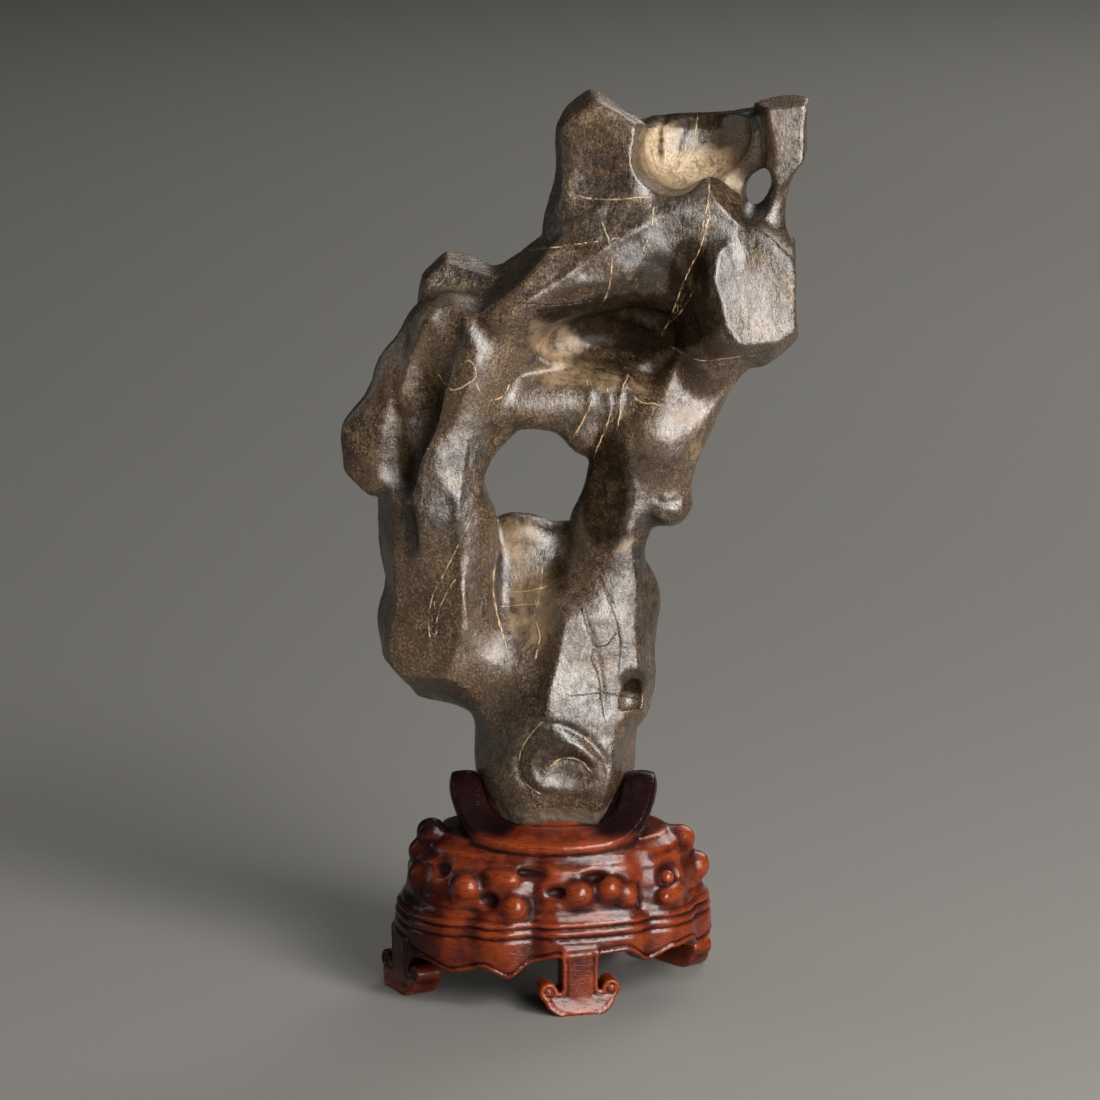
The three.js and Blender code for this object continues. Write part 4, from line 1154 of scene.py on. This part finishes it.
    height = s.math("ADD", wrinkles, s.math("MULTIPLY", speck, 0.35))
    height = s.math("ADD", height, s.math("MULTIPLY", streaks, 0.25))
    normal = s.bump(height, 0.8, look["wrinkleDepth"])
    lines = s.math("SUBTRACT", s.math("MULTIPLY", veinLine, 0.5), crackLine)
    normal = s.bump(lines, 0.9, look["lineDepth"], normal)
    return s.finish({
        "Base Color": colour, "Roughness": roughness, "Normal": normal,
        "IOR": 1.6, "Specular IOR Level": reflection,
    })


woodLook = dict(
    deep=(0.014, 0.0035, 0.0030, 1),
    red=(0.050, 0.0058, 0.0028, 1),
    orange=(0.24, 0.037, 0.005, 1),
    plum=(0.005, 0.0022, 0.0028, 1),
    cloudScale=85,
    fibreScale=800,
    poreScale=1300,
    grainDepth=0.00018,
    gloss=0.18,  # roughness where the wax is thickest
    reflection=0.5,
)


def woodMaterial():
    s = Shader("waxed rosewood")
    look = woodLook
    hollow = s.attribute("hollow")
    fineHollow = s.attribute("fineHollow")
    dark = s.attribute("dark")
    broad = s.noise(30, 3, 0.5)
    cloud = s.noise(look["cloudScale"], 3, 0.6)
    fibres = s.noise(look["fibreScale"], 4, 0.65, stretch=(0.06, 1, 1))
    pores = s.noise(look["poreScale"], 2, 0.5, stretch=(0.08, 1, 1))
    colour = s.mix(s.ramp(cloud, 0.42, 0.66, 0.0, 0.55), look["red"], look["orange"])

    # orange where it stands out, partly from rubbing and partly painted highlight; painted shade in the
    # recesses, along the grooves over the burls, on the undersides and at the left end; the collar's arms
    # darker in the wood
    # orange on the raised parts: rubbed wear, and partly a painted highlight
    wearAndHighlight = s.ramp(hollow, 0.05, -1.0, 0.0, 0.95)
    colour = s.mix(s.math("MULTIPLY", wearAndHighlight, s.ramp(cloud, 0.25, 0.55, 0.55, 1.0)), colour, look["orange"])
    colour = s.mix(s.math("MULTIPLY", s.ramp(fibres, 0.46, 0.66), 0.5), colour, look["red"])
    colour = s.mix(s.math("MULTIPLY", s.ramp(pores, 0.58, 0.68), 0.5), colour, look["deep"])
    # painted shade in the recesses, from how hollow the skin is
    recessShade = s.math("ADD", s.ramp(hollow, 0.15, 1.4), s.ramp(fineHollow, 0.03, 0.25, 0.0, 0.85))
    # the painted groove shade joins the painted shade of the recesses
    recessShade = s.math("MULTIPLY_ADD", s.attribute("carvedLine"), 0.55, recessShade, clamp=True)
    colour = s.mix(s.math("MULTIPLY", recessShade, s.ramp(broad, 0.2, 0.6, 0.8, 1.0)), colour, look["deep"])
    # the collar's dark arms, with painted shade on the left end and the undersides
    darkShare = s.math("MULTIPLY", s.ramp(dark, 0.0, 0.9), s.ramp(cloud, 0.25, 0.65, 1.0, 0.96), clamp=True)
    colour = s.mix(darkShare, colour, look["plum"])
    roughness = s.ramp(cloud, 0.3, 0.7, look["gloss"], look["gloss"] + 0.08)
    roughness = s.math("ADD", roughness, s.math("MULTIPLY", recessShade, 0.2))
    dullness = s.math("ADD", recessShade, darkShare)
    reflection = s.math("MULTIPLY", s.ramp(dullness, 0.0, 1.0, 1.0, 0.3), look["reflection"])
    height = s.math("SUBTRACT", s.math("MULTIPLY", fibres, 0.4), s.ramp(pores, 0.58, 0.68, 0.0, 0.8))
    normal = s.bump(height, 0.35, look["grainDepth"])
    return s.finish({
        "Base Color": colour, "Roughness": roughness, "Normal": normal,
        "IOR": 1.45, "Specular IOR Level": reflection,
    })


def plainMaterial(name, colour, roughness):
    s = Shader(name)
    return s.finish({"Base Color": colour, "Roughness": roughness})


# The studio.

studio = dict(
    floorSize=14.0,
    floorColour=(0.225, 0.222, 0.213, 1),
    floorRoughness=0.7,
    worldColour=(1.0, 0.97, 0.93, 1),
    worldStrength=0.03,
    lightColour=(1.0, 0.965, 0.915),
)
softLights = [  # name, place in metres, what it points at, width, height, watts
    ("key", (0.95, -0.97, 1.20), (0, 0, 0.2), 0.50, 0.50, 16.0),
    ("front softbox", (0.76, -1.12, 0.50), (0, 0, 0.2), 1.00, 0.85, 28.0),
    ("left fill", (-1.0, -1.3, 0.9), (0, 0, 0.2), 0.7, 0.9, 0.5),
    ("left rim", (-1.3, 0.3, 0.7), (0, 0, 0.2), 0.30, 1.0, 1.5),
    ("backdrop light", (1.7, 3.0, 2.2), (1.4, 3.3, 0), 3.0, 2.0, 56.0),
    ("back softbox", (1.0, 1.5, 1.1), (0, 0, 0.2), 0.8, 0.8, 4.0),
    ("ceiling", (0, 0, 4.0), (0, 0, 0), 5.0, 5.0, 18.0),
]


def makeStudio():
    bpy.ops.mesh.primitive_plane_add(size=studio["floorSize"])
    floor = bpy.context.object
    floor.name = "floor"
    floor.data.materials.append(plainMaterial("pale floor", studio["floorColour"], studio["floorRoughness"]))
    world = bpy.data.worlds.new("studio")
    bpy.context.scene.world = world
    world.use_nodes = True
    background = world.node_tree.nodes["Background"]
    background.inputs[0].default_value = studio["worldColour"]
    background.inputs[1].default_value = studio["worldStrength"]
    bpy.context.scene.view_settings.view_transform = "Standard"
    for name, place, target, width, height, watts in softLights:
        data = bpy.data.lights.new(name, "AREA")
        data.shape = "RECTANGLE"
        data.size, data.size_y, data.energy = width, height, watts
        data.color = studio["lightColour"]
        light = bpy.data.objects.new(name, data)
        light.location = place
        light.rotation_euler = (Vector(target) - Vector(place)).to_track_quat("-Z", "Y").to_euler()
        bpy.context.scene.collection.objects.link(light)


def makeCamera():
    data = bpy.data.cameras.new("camera")
    data.sensor_width = filmWidth
    data.lens = lensLength
    data.clip_end = 50
    camera = bpy.data.objects.new("camera", data)
    eye = Vector((eyePoint + wholeShift) * mm)
    aim = Vector((aimPoint + wholeShift) * mm)
    camera.location = eye
    camera.rotation_euler = (aim - eye).to_track_quat("-Z", "Y").to_euler()
    bpy.context.scene.collection.objects.link(camera)
    bpy.context.scene.camera = camera


makeCamera()
makeStudio()
report("camera, floor and lights")
makeStone(stoneMaterial())
report("stone")
makeStand(woodMaterial())
report("stand")
